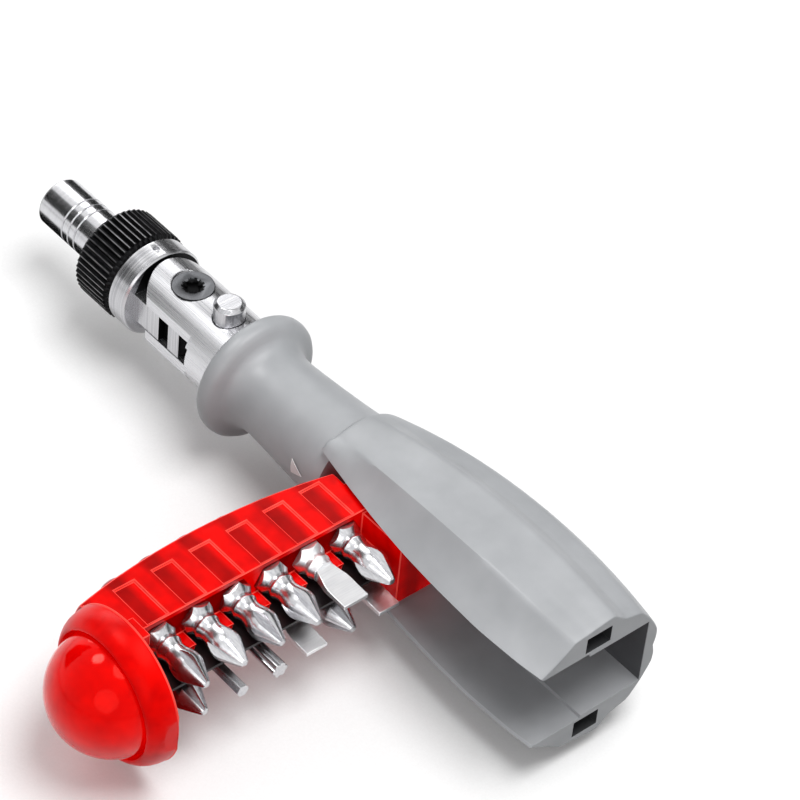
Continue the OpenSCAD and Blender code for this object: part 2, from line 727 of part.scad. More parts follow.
// A pawl with its tooth in the wheel, on the side of rising angles
module pawl_outline() {
    tip_share = (gear_d / 2 - tooth_depth * tooth_bite_share) / pawl_pin_r;
    difference() {
        union() {
            translate(at_share(1, pawl_angle)) circle(r = pawl_pin_d * pawl_boss_share, $fn = small_fn);
            polygon(concat([at_share(tip_share, tooth_angle)],
                [for (i = [0:len(pawl_shares) - 1]) at_share(pawl_shares[i], pawl_turns[i])]));
        }
        translate(at_share(1, pawl_angle)) circle(r = pawl_pin_d / 2 + run_fit, $fn = small_fn);
    }
}

module pawl(side, lifted) {
    pin = at_share(1, pawl_angle);
    slab(gear_x + 2 * run_fit, gear_front_x - 2 * run_fit) rotate(pawl_side) mirror([0, side < 0 ? 1 : 0])
        translate(pin) rotate(lifted ? -pawl_rock : 0) translate(-pin) pawl_outline();
}

module pawl_forward() {
    color("gray") pawl(1, false);
}

module pawl_reverse() {
    color("gray") pawl(-1, true);
}

module pawl_spring() {
    spring_x = (gear_x + gear_front_x) / 2;
    reach = 360 - 2 * window_half;
    ball_share = 0.12;
    color("silver") rotate([pawl_side + window_half, 0, 0]) rotate([90, 0, 90])
        translate([0, 0, spring_x]) for (part = [0, 1])
            rotate([0, 0, part * reach * (0.5 + ball_share / 2)])
                rotate_extrude(angle = reach * (0.5 - ball_share / 2), $fn = round_fn)
                    translate([core_d / 2 - pawl_wire / 2 - run_fit, 0]) circle(r = pawl_wire / 2, $fn = 16);
}

module detent_ball() {
    color("silver") translate([(gear_x + gear_front_x) / 2, 0, core_d / 2 - ball_d / 4 + run_fit])
        sphere(r = ball_d / 2, $fn = small_fn);
}

module detent_spring() {
    wire = ball_d / 5;
    z0 = cavity_r + ball_d / 2 + run_fit;
    color("silver") translate([(gear_x + gear_front_x) / 2, 0, 0])
        coil(z0, core_d / 2 - ball_d * 3 / 4 + run_fit, ball_d / 2 - wire, wire, 1, 6, 12);
}

module front_cap() {
    color("gainsboro") difference() {
        union() {
            chamfered_bar(cap_x, core_x, cap_d / 2, seat_gap);
            bar(core_x, sleeve_x, sleeve_d / 2);
        }
        bar(cap_x + over, sleeve_x - over, bearing_d / 2 + run_fit);
        taper(cap_x - dish_depth, dish_floor_d / 2, cap_x, dish_d / 2);
        taper(cap_x, dish_d / 2, cap_x + over, dish_d / 2);
    }
}

module ring_outline() {
    r = ring_d / 2;
    polygon([for (i = [0:ring_ribs - 1], half = [0, 1])
        let (a = 360 * (i + half / 2) / ring_ribs, out = r - half * rib_depth)
        [out * cos(a), out * sin(a)]]);
}

module selector_ring() {
    rear_x = ring_x - ring_len;
    bore = core_d / 2 + run_fit;
    color("black") {
        difference() {
            intersection() {
                slab(ring_x, rear_x) ring_outline();
                chamfered_bar(ring_x, rear_x, ring_d / 2, ring_chamfer);
            }
            bar(ring_x + over, rear_x - over, bore);
            bar(gear_front_x + seat_gap, rear_x - over, ring_relief_r);
        }
        // the lobe that lifts one pawl at a time
        slab(gear_front_x - 2 * run_fit, gear_x + 2 * run_fit) rotate(pawl_side - lobe_angle)
            intersection() {
                difference() {
                    circle(r = ring_relief_r + run_fit, $fn = round_fn);
                    circle(r = lobe_r, $fn = round_fn);
                }
                translate([0, -pawl_pin_d / 2]) square([ring_d, pawl_pin_d]);
            }
    }
}

module bit_socket() {
    color("silver") difference() {
        union() {
            bar(-socket_chamfer, -barrel_len, socket_d / 2);
            taper(-socket_chamfer, socket_d / 2, 0, socket_d / 2 - socket_chamfer);
            bar(-barrel_len, shoulder_rear_x, bearing_d / 2);
            bar(shoulder_front_x, shoulder_rear_x, shoulder_d / 2);
            bar(shoulder_rear_x, gear_x, hub_d / 2);
            bar(gear_x, floor_x - journal_len + seat_gap, journal_d / 2);
        }
        slab(over, -hex_depth) circle(d = (hex_af + hex_slack) / cos(30), $fn = 6);
        taper(-lead_depth, (hex_af + hex_slack) / 2, 0, lead_d / 2);
        taper(0, lead_d / 2, over, lead_d / 2);
        bar(-hex_depth, -hex_depth - magnet_t - still_fit, magnet_d / 2 + still_fit);
        for (i = [0:2]) translate([-line_start - i * line_step, 0, 0]) difference() {
            bar(0, -line_w, socket_d);
            bar(over, -line_w - over, socket_d / 2 - line_depth);
        }
    }
}

module socket_magnet() {
    color("dimgray") bar(-hex_depth, -hex_depth - magnet_t, magnet_d / 2);
}

module ratchet_gear() {
    r = gear_d / 2;
    color("gray") slab(gear_x, gear_front_x) difference() {
        polygon([for (i = [0:gear_teeth - 1], half = [0, 1])
            let (a = 360 * (i + half / 2) / gear_teeth + pawl_side, out = r - half * tooth_depth)
            [out * cos(a), out * sin(a)]]);
        circle(r = hub_d / 2 + still_fit, $fn = round_fn);
    }
}

module thrust_washer() {
    color("goldenrod") difference() {
        bar(gear_x, gear_x - washer_t, hub_d / 2 + (cavity_r - hub_d / 2) / 2);
        bar(gear_x + over, gear_x - washer_t - over, journal_d / 2 + run_fit);
    }
}

// A bit socket's hex hole, from the rim into the magazine
module pocket(i, side) {
    translate([bit_x(i), rim_y - over, side * row_z]) rotate([-90, 0, 0])
        cylinder(h = pocket_depth + over, d = (hex_af + pocket_slack) / cos(30), $fn = 6);
}

// The round cut that lets the open magazine slide past the handle's front
module nose_cut() {
    shelf_y = hinge_y + channel_x - seat_gap - hinge_home_x;
    nose_r = handle_d / 2 - handle_curve + sqrt(pow(handle_curve, 2) - pow(channel_x + handle_mid, 2));
    translate([hinge_home_x + hinge_y, shelf_y, 0]) rotate([-90, 0, 0])
        cylinder(h = handle_d, r = nose_r + seat_gap, $fn = round_fn);
}

// The matte ring with its rounded rear edge
module shoulder_ring() {
    intersection() {
        barrel(0, ring_end_x, shoulder_face_x);
        union() {
            bar(ring_end_x - over, shoulder_face_x + over, shoulder_r - shoulder_round);
            bar(ring_end_x + shoulder_round, shoulder_face_x + over, handle_d / 2);
            translate([ring_end_x + shoulder_round, 0, 0]) rotate([0, 90, 0]) rotate_extrude($fn = round_fn)
                translate([shoulder_r - shoulder_round, 0]) circle(r = shoulder_round, $fn = round_fn);
        }
    }
}

module magazine_body() {
    near_x = hinge_home_x + near_len;
    latch_z = channel_h / 2 + latch_wall + seat_gap;
    tab_len = latch_depth + over - 2 * seat_gap;
    color("red") opened() difference() {
        union() {
            intersection() {
                barrel(bulge, shoulder_face_x - over, near_x);
                block([shoulder_face_x - over, rim_y, -magazine_z], [near_x, handle_d, magazine_z]);
            }
            // the bumps over the bit sockets
            for (i = [0:bits_per_row - 1], side = [-1, 1])
                translate([bit_x(i), bump_y(i), side * row_z]) sphere(r = bump_r, $fn = small_fn);
            // the lobes between the bits
            for (i = [0:bits_per_row]) translate([bit_x(i) + bit_pitch / 2, rim_y - lobe_reach, -row_z / 2])
                difference() {
                    translate([-lobe_w / 2, 0, 0]) cube([lobe_w, lobe_reach + over, row_z]);
                    for (side = [-1, 1]) translate([side * bit_pitch / 2, over, row_z / 2]) rotate([90, 0, 0])
                        cylinder(h = 4 * over + lobe_reach, r = hex_af / 2 + seat_gap, center = true, $fn = small_fn);
                }
            // the hinge block
            block([hinge_home_x - block_len, hinge_y - block_depth, -block_h / 2],
                [hinge_home_x, hinge_y + block_r, block_h / 2]);
            block([hinge_home_x, hinge_y - block_depth, -block_h / 2],
                [hinge_home_x + block_r, hinge_y, block_h / 2]);
            translate([hinge_home_x, hinge_y, -block_h / 2]) cylinder(h = block_h, r = block_r, $fn = round_fn);
            shoulder_ring();
            // the latch tabs
            for (side = [-1, 1])
                translate([shoulder_face_x - over, latch_shift - latch_w / 2 + seat_gap,
                    side * (latch_z + latch_h / 2 - seat_gap) - latch_h / 2 + seat_gap])
                    cube([tab_len, latch_w - 2 * seat_gap, latch_h - 2 * seat_gap]);
        }
        nose_cut();
        for (i = [0:bits_per_row - 1], side = [-1, 1]) pocket(i, side);
        // the side panels between the ribs
        for (i = [0:bits_per_row - 1], side = [-1, 1])
            translate([bit_x(i) - panel_w / 2, rim_y + panel_depth, side * magazine_z - panel_depth])
                cube([panel_w, pocket_depth - 2 * panel_depth, 2 * panel_depth]);
        // the groove of the plate between the rows
        block([shoulder_face_x + seat_gap, rim_y - divider_reach, -divider_t / 2 - still_fit],
            [bit_x(0) + bit_pitch / 2, rim_y + divider_seat + still_fit, divider_t / 2 + still_fit]);
        translate([hinge_home_x, hinge_y, -block_h])
            cylinder(h = 2 * block_h, r = hinge_d / 2 + run_fit, $fn = round_fn);
        // the seat of the dome
        bar(ring_end_x - over, ring_end_x + spigot_len + still_fit, spigot_d / 2 + still_fit);
    }
}

lobe_reach = 4;
lobe_w = 2.6;

// The place of a bump's centre, so that it stands out of the curved face by its height
function curve_r(x) = handle_d / 2 + bulge - handle_curve + sqrt(pow(handle_curve, 2) - pow(x + handle_mid, 2));
function bump_y(i) = sqrt(pow(curve_r(bit_x(i)), 2) - pow(row_z, 2)) + bump_h - bump_r;

module magazine_dome() {
    centre_x = ring_end_x + dome_forward;
    color("red") opened() {
        intersection() {
            translate([centre_x, 0, 0]) sphere(r = dome_r, $fn = round_fn);
            bar(ring_end_x, ring_end_x - dome_r - over, dome_r);
        }
        bar(ring_end_x, ring_end_x + spigot_len, spigot_d / 2);
    }
}

module row_divider() {
    color("black") opened()
        block([shoulder_face_x + seat_gap + still_fit, rim_y - divider_reach, -divider_t / 2],
            [bit_x(0) + bit_pitch / 2 - still_fit, rim_y + divider_seat, divider_t / 2]);
}

// A bit's blank along Z, with the shank's end at zero and the working end up
module bit_blank(tip_d) {
    cone = (bit_bead_d - bit_neck_d) / 2;
    bead_z = end_z;
    intersection() {
        cylinder(h = shank_len, d = hex_af / cos(30), $fn = 6);
        union() {
            cylinder(h = cone, r1 = hex_af / 2, r2 = hex_af / 2 + cone, $fn = round_fn);
            translate([0, 0, cone]) cylinder(h = shank_len - 2 * cone, r = hex_af, $fn = round_fn);
            translate([0, 0, shank_len - cone])
                cylinder(h = cone, r1 = hex_af / 2 + cone, r2 = hex_af / 2, $fn = round_fn);
        }
    }
    cylinder(h = bead_z, d = bit_neck_d, $fn = round_fn);
    translate([0, 0, bead_z - cone]) cylinder(h = cone, d1 = bit_neck_d, d2 = bit_bead_d, $fn = round_fn);
    translate([0, 0, bead_z]) cylinder(h = cone, d1 = bit_bead_d, d2 = tip_d, $fn = round_fn);
}

// Where a bit's working end starts
end_z = shank_len + bead_gap;
end_len = bit_len - end_z;

// A cross point: a flared cone with four flutes
module cross_end() {
    straight = end_len / 3;
    flute = cross_d / 2;
    point_z = end_z + flare_len + straight;
    difference() {
        union() {
            translate([0, 0, end_z]) cylinder(h = flare_len, d1 = bit_neck_d, d2 = cross_d, $fn = round_fn);
            translate([0, 0, end_z + flare_len]) cylinder(h = straight, d = cross_d, $fn = round_fn);
            translate([0, 0, point_z]) cylinder(h = bit_len - point_z, d1 = cross_d, d2 = point_d, $fn = round_fn);
        }
        for (a = [0:90:270]) rotate([0, 0, a + 45]) translate([flute, 0, bit_len])
            rotate([0, -flute_tilt, 0]) rotate([0, 0, 45])
                cube([flute, flute, 2 * (end_len - flare_len)], center = true);
    }
}

flute_tilt = 10; // degrees that a flute leans off the bit's axis

// A flat blade of the given width
module slot_end(width) {
    flat_z = end_len * 2 / 3;
    intersection() {
        translate([0, 0, end_z]) rotate([90, 0, 0]) linear_extrude(bit_bead_d, center = true)
            polygon([[-bit_neck_d / 2, 0], [bit_neck_d / 2, 0], [width / 2, end_len / 2], [width / 2, end_len],
                [-width / 2, end_len], [-width / 2, end_len / 2]]);
        translate([0, 0, end_z]) rotate([90, 0, 90]) linear_extrude(2 * width, center = true)
            polygon([[-bit_neck_d / 2, 0], [bit_neck_d / 2, 0], [blade_t / 2, flat_z], [blade_t / 2, end_len],
                [-blade_t / 2, end_len], [-blade_t / 2, flat_z]]);
    }
}

// The taper from a bit's neck to a key
module key_root(d) {
    translate([0, 0, end_z]) cylinder(h = key_taper, d1 = bit_neck_d, d2 = d / 2, $fn = round_fn);
}

module hex_end(d) {
    key_root(d);
    translate([0, 0, end_z]) cylinder(h = end_len, d = d, $fn = 6);
}

module star_end(d) {
    lobe = d / 6;
    key_root(d);
    translate([0, 0, end_z]) linear_extrude(end_len) union() {
        circle(d = d - 1.5 * lobe, $fn = small_fn);
        for (a = [0:60:300]) rotate(a) translate([d / 2 - lobe, 0]) circle(r = lobe, $fn = 16);
    }
}

// Stands a bit in its socket: row +1 is on the button's side, and i counts from the hinge
module placed_bit(i, side) {
    color("gainsboro") opened()
        translate([bit_x(i), pocket_floor_y - still_fit, side * row_z]) rotate([90, 0, 0]) children();
}

module cross_bit(i, side) {
    placed_bit(i, side) { bit_blank(bit_neck_d); cross_end(); }
}

module slot_bit(i, side, width) {
    placed_bit(i, side) { bit_blank(bit_neck_d); slot_end(width); }
}

module bit_cross_1() { cross_bit(5, 1); }
module bit_cross_2() { cross_bit(4, 1); }
module bit_cross_3() { cross_bit(3, 1); }
module bit_cross_4() { cross_bit(2, 1); }
module bit_slot_5() { slot_bit(1, 1, blade_w); }
module bit_cross_6() { cross_bit(0, 1); }
module bit_cross_7() { cross_bit(5, -1); }
module bit_hex_8() { placed_bit(4, -1) { bit_blank(bit_neck_d); hex_end(key_d); } }
module bit_star_9() { placed_bit(3, -1) { bit_blank(bit_neck_d); star_end(star_key_d); } }
module bit_slot_10() { slot_bit(2, -1, bit_bead_d); }
module bit_cross_11() { cross_bit(1, -1); }
module bit_slot_12() { slot_bit(0, -1, bit_bead_d); }

handle_shell();
neck_sleeve();
neck_arrow();
shank_clevis();
shank_screw();
hinge_pin();
pivot_screw();
pivot_nut();
lock_button();
lock_spring();
lock_plug();
ratchet_housing();
front_cap();
selector_ring();
bit_socket();
socket_magnet();
ratchet_gear();
thrust_washer();
pawl_forward();
pawl_reverse();
pawl_pins();
pawl_spring();
detent_ball();
detent_spring();
magazine_body();
magazine_dome();
row_divider();
bit_cross_1();
bit_cross_2();
bit_cross_3();
bit_cross_4();
bit_slot_5();
bit_cross_6();
bit_cross_7();
bit_hex_8();
bit_star_9();
bit_slot_10();
bit_cross_11();
bit_slot_12();
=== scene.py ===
"""Dresses the ratcheting screwdriver: its grips, folding steel head, red magazine and bits.

Lengths in the sizes below are millimetres in the part's own frame: the driver's axis is X, the socket's
mouth is the origin, +Z runs along the pivot screw, and +Y is the side that the magazine opens to.
"""

from __future__ import annotations

import logging
import math
from dataclasses import dataclass, field
from enum import Enum
from typing import Callable, Iterable, Sequence

import bmesh
import bpy
from mathutils import Matrix, Vector


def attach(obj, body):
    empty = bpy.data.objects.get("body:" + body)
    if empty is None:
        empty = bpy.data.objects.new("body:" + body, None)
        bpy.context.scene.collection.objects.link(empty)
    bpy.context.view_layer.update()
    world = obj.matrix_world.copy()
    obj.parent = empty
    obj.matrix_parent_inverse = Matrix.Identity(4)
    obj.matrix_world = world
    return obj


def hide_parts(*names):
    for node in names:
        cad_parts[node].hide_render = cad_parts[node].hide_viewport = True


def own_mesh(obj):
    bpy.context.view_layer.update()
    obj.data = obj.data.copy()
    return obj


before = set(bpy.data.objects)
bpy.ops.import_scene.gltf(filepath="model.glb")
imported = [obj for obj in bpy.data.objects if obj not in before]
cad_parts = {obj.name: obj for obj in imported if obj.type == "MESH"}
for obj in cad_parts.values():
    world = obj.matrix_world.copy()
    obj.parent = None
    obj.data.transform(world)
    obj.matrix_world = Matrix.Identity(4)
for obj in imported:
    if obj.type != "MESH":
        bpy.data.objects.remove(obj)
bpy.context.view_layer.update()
MM = 0.001
log = logging.getLogger("screwdriver")

Outline = Sequence[tuple[float, float]]
Triple = tuple[float, float, float]
Shape = bmesh.types.BMesh
Socket = bpy.types.NodeSocket


class Finish(Enum):
    """The finishes of the tool, each with its material's name, which says what it is made of and, for some, the light
    or shade that is painted on it.
    """

    GRIP = "moulded_grey_abs"
    # Painted shade: a darker grey for the channel's back wall
    INSIDE_SHADE = "moulded_grey_painted_shade_inside"
    # Painted shade: dark grey for the insides of the latch holes
    SHADE = "moulded_grey_in_shade"
    PRINT = "white_pad_print"
    TURNED = "turned_steel"
    MILLED = "milled_steel"
    POLISHED = "polished_steel"
    OXIDE = "black_oxide_steel"
    SCREW = "gunmetal_screw"
    HARDENED = "hardened_steel"
    SPRING = "spring_wire"
    BRONZE = "sintered_bronze"
    NICKEL = "nickel_plate"
    RED = "clear_red_polycarbonate"
    # Painted shade: dark bands over the walls between the sockets
    RED_RIB_SHADED = "ribbed_red_polycarbonate_painted_socket_shade"
    # Painted highlight: a lighter, glowing red along the rounded edges
    RED_EDGE_HIGHLIGHT = "red_polycarbonate_painted_edge_highlight"
    RED_MATTE = "etched_red_polycarbonate"
    # Painted shade: near-black for the plate between the rows, where light is blocked
    BLACK = "painted_shade_divider_black"
    BIT = "satin_bit_steel"
    BLADE = "ground_blade_steel"
    # Painted highlight: lighter steel along the ring's rib crests
    CREST_HIGHLIGHT = "oxide_painted_highlight_at_crests"
    # Painted shade: near-black steel in recesses and on shaded faces
    RECESS_SHADE = "painted_shade_in_recesses"


def linear(code: str) -> tuple[float, float, float, float]:
    """Turns an sRGB hex colour into the linear values that shaders use.

    Args:
        code: six hex digits after a hash, such as "#a0a2a5".

    Returns:
        Red, green, blue and an alpha of 1.
    """
    shares = [int(code[i:i + 2], 16) / 255 for i in (1, 3, 5)]
    red, green, blue = (s / 12.92 if s <= 0.04045 else ((s + 0.055) / 1.055) ** 2.4 for s in shares)
    return red, green, blue, 1.0


@dataclass
class Shader:
    """A node tree while it is being put together, of a new material or of the world."""

    name: str
    material: bpy.types.Material | bpy.types.World | None = None

    def __post_init__(self) -> None:
        """Starts from an empty tree with its output."""
        kind = "ShaderNodeOutputWorld" if self.material else "ShaderNodeOutputMaterial"
        self.material = self.material or bpy.data.materials.new(self.name)
        self.material.use_nodes = True
        self.material.node_tree.nodes.clear()
        self.output = self.node(kind)

    def link(self, source: Socket, target: Socket) -> None:
        """Joins two sockets."""
        self.material.node_tree.links.new(source, target)

    def node(self, kind: str, settings: dict | None = None, inputs: dict | None = None) -> bpy.types.Node:
        """Adds a node.

        Args:
            kind: the node's type name.
            settings: the node's own properties.
            inputs: socket name or number to a value, or to an output socket that is linked to it.

        Returns:
            The new node.
        """
        made = self.material.node_tree.nodes.new(kind)
        for key, value in (settings or {}).items():
            setattr(made, key, value)
        for key, value in (inputs or {}).items():
            if isinstance(value, Socket):
                self.link(value, made.inputs[key])
            else:
                made.inputs[key].default_value = value
        return made

    def ramp(self, factor: Socket, stops: Sequence[tuple[float, tuple]]) -> Socket:
        """Adds a colour ramp.

        Args:
            factor: what the ramp reads.
            stops: places from 0 to 1 with their linear colours.

        Returns:
            The ramp's colour socket.
        """
        made = self.node("ShaderNodeValToRGB", inputs={"Fac": factor})
        elements = made.color_ramp.elements
        while len(elements) < len(stops):
            elements.new(0.5)
        for element, (place, colour) in zip(elements, stops):
            element.position, element.color = place, colour
        return made.outputs["Color"]

    def mapped(self, scale: Triple = (1, 1, 1)) -> Socket:
        """Object coordinates stretched by scale, so that a pattern follows the piece."""
        place = self.node("ShaderNodeTexCoord").outputs["Object"]
        return self.node("ShaderNodeMapping", inputs={"Vector": place, "Scale": scale}).outputs["Vector"]

    def noise(self, grain_mm: float, stretch: Triple = (1, 1, 1), detail: float = 3.0) -> Socket:
        """Adds a noise whose grains measure grain_mm on the object.

        Args:
            grain_mm: size of one grain in millimetres.
            stretch: how many times finer the grain is along X, Y and Z.
            detail: octaves of finer grain.

        Returns:
            The noise's value from 0 to 1.
        """
        made = self.node("ShaderNodeTexNoise", inputs={
            "Vector": self.mapped(stretch), "Scale": 1 / (grain_mm * MM), "Detail": detail})
        return made.outputs["Fac"]

    def bump(self, height: Socket, depth_mm: float, strength: float, below: Socket | None = None) -> Socket:
        """Adds a bump.

        Args:
            height: the pattern from 0 to 1.
            depth_mm: how deep the pattern is in millimetres.
            strength: how much of it shows.
            below: the normal of a coarser bump, if there is one.

        Returns:
            The bumped normal.
        """
        inputs = {"Height": height, "Distance": depth_mm * MM, "Strength": strength}
        if below is not None:
            inputs["Normal"] = below
        return self.node("ShaderNodeBump", inputs=inputs).outputs["Normal"]

    def surface(self, inputs: dict) -> bpy.types.Material:
        """Ends the tree with a principled surface and returns the material."""
        made = self.node("ShaderNodeBsdfPrincipled", inputs=inputs)
        self.link(made.outputs["BSDF"], self.output.inputs["Surface"])
        return self.material


@dataclass(frozen=True)
class MouldedPlastic:
    """Injection-moulded ABS with a spark-eroded skin: an even satin colour with a faint tooth."""

    light: str
    dark: str
    roughness: float = 0.42
    tooth_mm: float = 0.18

    def make(self, name: str) -> bpy.types.Material:
        """Builds the material under its name."""
        shader = Shader(name)
        cloud = shader.ramp(shader.noise(9.0), [(0.35, linear(self.dark)), (0.7, linear(self.light))])
        skin = shader.bump(shader.noise(self.tooth_mm), 0.012, 0.5)
        wear = shader.node("ShaderNodeMapRange", inputs={
            "Value": shader.noise(4.0), "To Min": self.roughness - 0.05, "To Max": self.roughness + 0.06})
        return shader.surface({"Base Color": cloud, "Roughness": wear.outputs["Result"], "IOR": 1.53, "Normal": skin})


@dataclass(frozen=True)
class ClearPlastic:
    """Moulded polycarbonate with red dye: light passes through it, its depths go dark red, and a faint emission paints
    a glow into it.
    """

    light: str
    dark: str
    roughness: float
    clear: float
    etch_mm: float = 0.0
    pitch_mm: float = 0.0
    shine: float = 0.3
    # Painted glow: emission in the plastic's own colour, though it is no lamp
    glow: float = 0.0

    def make(self, name: str) -> bpy.types.Material:
        """Builds the material under its name."""
        shader = Shader(name)
        flow = shader.ramp(shader.noise(5.0, detail=2.0), [(0.3, linear(self.dark)), (0.65, linear(self.light))])
        if self.pitch_mm:
            flow = self.sockets(shader, flow)
        ripple = shader.bump(shader.noise(2.6, detail=1.0), 0.05, 0.5)
        if self.etch_mm:
            ripple = shader.bump(shader.noise(self.etch_mm), 0.03, 0.7, ripple)
        return shader.surface({
            "Base Color": flow, "Roughness": self.roughness, "IOR": 1.58, "Transmission Weight": self.clear,
            "Specular IOR Level": self.shine, "Specular Tint": linear("#ff5048"), "Emission Color": flow,
            "Emission Strength": self.glow, "Normal": ripple})

    def sockets(self, shader: Shader, colour: Socket) -> Socket:
        """Paints shade on the plastic over the walls between the sockets behind it, one dark band a pitch."""
        wave = shader.node("ShaderNodeTexWave", {"wave_type": "BANDS", "bands_direction": "Y", "wave_profile": "SIN"}, {
            "Vector": shader.mapped(), "Scale": math.tau / 20 / (self.pitch_mm * MM), "Distortion": 0.6,
            "Detail": 1.0, "Detail Scale": 2.0})
        # Painted shade: the pinkish grey darkens the red between the sockets
        band = shader.ramp(wave.outputs["Fac"], [(0.1, linear("#c08080")), (0.65, linear("#ffffff"))])
        both = shader.node("ShaderNodeMix", {"data_type": "RGBA", "blend_type": "MULTIPLY"}, {
            "Factor": 1.0, "A": colour, "B": band})
        return both.outputs["Result"]


@dataclass(frozen=True)
class Metal:
    """Bare metal whose tool marks run across the stretch: fine lines that draw the highlights out."""

    light: str
    dark: str
    roughness: float
    marks_mm: float = 0.12
    stretch: Triple = (1.0, 0.02, 0.02)
    depth_mm: float = 0.002

    def make(self, name: str) -> bpy.types.Material:
        """Builds the material under its name."""
        shader = Shader(name)
        marks = shader.noise(self.marks_mm, self.stretch, 2.0)
        colour = shader.ramp(marks, [(0.25, linear(self.dark)), (0.75, linear(self.light))])
        shine = shader.node("ShaderNodeMapRange", inputs={
            "Value": marks, "To Min": self.roughness * 0.8, "To Max": self.roughness * 1.25})
        return shader.surface({"Base Color": colour, "Metallic": 1.0, "Roughness": shine.outputs["Result"],
                               "Normal": shader.bump(marks, self.depth_mm, 0.6)})


@dataclass
class Palette:
    """Every finish, made once."""

    made: dict[Finish, bpy.types.Material] = field(default_factory=dict)

    def __post_init__(self) -> None:
        """Makes the materials."""
        recipes = {
            Finish.GRIP: MouldedPlastic("#aaacaf", "#9fa1a4"),
            # Painted shade: dark grey for the insides of the latch holes
            Finish.SHADE: MouldedPlastic("#3a3b3d", "#2c2d2f"),
            # Painted shade: darker grey for the channel's back wall
            Finish.INSIDE_SHADE: MouldedPlastic("#4e4f52", "#444548"),
            Finish.PRINT: MouldedPlastic("#f4f4f4", "#ececec", 0.5, 0.1),
            Finish.TURNED: Metal("#d2d2d4", "#a6a6aa", 0.24, 0.3, (1, 0.01, 0.01), 0.0012),
            Finish.MILLED: Metal("#dadadc", "#c2c2c6", 0.27, 0.25, (0.02, 1, 1), 0.0005),
            Finish.POLISHED: Metal("#dedee0", "#c8c8cc", 0.2, 0.3, (1, 0.01, 0.01), 0.0006),
            Finish.OXIDE: Metal("#242425", "#0c0c0d", 0.36, 0.3, (0.3, 1, 1), 0.003),
            # Painted highlight: lighter steel for the rib crests
            Finish.CREST_HIGHLIGHT: Metal("#8a8a8c", "#48484a", 0.32, 0.5, (0.2, 1, 1), 0.002),
            # Painted shade: near-black for recesses and shaded faces
            Finish.RECESS_SHADE: Metal("#1c1c1d", "#0a0a0b", 0.5, 0.3, (1, 1, 1), 0.003),
            Finish.SCREW: Metal("#77787b", "#56575a", 0.34, 0.2, (1, 1, 1), 0.002),
            Finish.HARDENED: Metal("#8b8b8e", "#6c6c70", 0.32, 0.2, (1, 1, 1), 0.003),
            Finish.SPRING: Metal("#b8b8bc", "#8f8f94", 0.25, 0.1, (1, 1, 1), 0.001),
            Finish.BRONZE: Metal("#c08a4a", "#8f6230", 0.42, 0.25, (1, 1, 1), 0.004),
            Finish.NICKEL: Metal("#c9c6c0", "#aaa79f", 0.2, 0.2, (1, 1, 1), 0.001),
            # Each red below carries a painted glow through its emission
            Finish.RED: ClearPlastic("#ff0603", "#e20002", 0.09, 0.35, shine=0.55, glow=0.1),
            Finish.RED_MATTE: ClearPlastic("#ff0402", "#d60002", 0.34, 0.2, etch_mm=0.3, glow=0.07),
            # Painted shade in bands one socket pitch apart
            Finish.RED_RIB_SHADED: ClearPlastic("#ff0402", "#d20002", 0.2, 0.25, pitch_mm=8.56, glow=0.1),
            # Painted highlight: a pinkish red on the rounded edges
            Finish.RED_EDGE_HIGHLIGHT: ClearPlastic("#ff5a50", "#ff4038", 0.3, 0.1, glow=0.12),
            # Painted shade: near-black for the plate between the rows
            Finish.BLACK: MouldedPlastic("#1b1012", "#120a0c", 0.3, 0.2),
            Finish.BIT: Metal("#d8d8da", "#bcbcc0", 0.24, 0.3, (0.1, 1, 1), 0.0004),
            Finish.BLADE: Metal("#f4f4f5", "#e8e8ea", 0.34, 0.2, (1, 0.05, 1), 0.0003),
        }
        self.made = {finish: recipe.make(finish.value) for finish, recipe in recipes.items()}

    def __getitem__(self, finish: Finish) -> bpy.types.Material:
        """The material of a finish."""
        return self.made[finish]


def dress(node: str, finish: Finish, palette: Palette) -> None:
    """Gives a CAD node its finish.

    Args:
        node: the node's name.
        finish: which finish it takes.
        palette: the made finishes.
    """
    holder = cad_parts[node]
    if not holder.data.materials:
        holder.data.materials.append(palette[finish])
    for slot in holder.material_slots:
        slot.material = palette[finish]
    log.info("%s: CAD solid in %s", node, finish.value)


def linked(name: str, data: bpy.types.ID) -> bpy.types.Object:
    """Adds an object with its data to the scene."""
    made = bpy.data.objects.new(name, data)
    bpy.context.scene.collection.objects.link(made)
    return made


def moved(bm: Shape, *steps: Matrix) -> Shape:
    """Moves a shape by one matrix after another."""
    for step in steps:
        bmesh.ops.transform(bm, matrix=step, verts=bm.verts)
    return bm


def turn(degrees: float, axis: str) -> Matrix:
    """A turn about an axis through the origin."""
    return Matrix.Rotation(math.radians(degrees), 4, axis)


def shift(x: float, y: float, z: float) -> Matrix:
    """A move along the three axes."""
    return Matrix.Translation(Vector((x, y, z)))


def resize(x: float, y: float, z: float) -> Matrix:
    """A scaling from the origin along the three axes."""
    return Matrix.Diagonal(Vector((x, y, z, 1)))


def shade(mesh: bpy.types.Mesh, angle: float) -> None:
    """Smooths a mesh but keeps edges sharper than an angle in degrees."""
    mesh.shade_smooth()
    mesh.set_sharp_from_angle(angle=math.radians(angle))


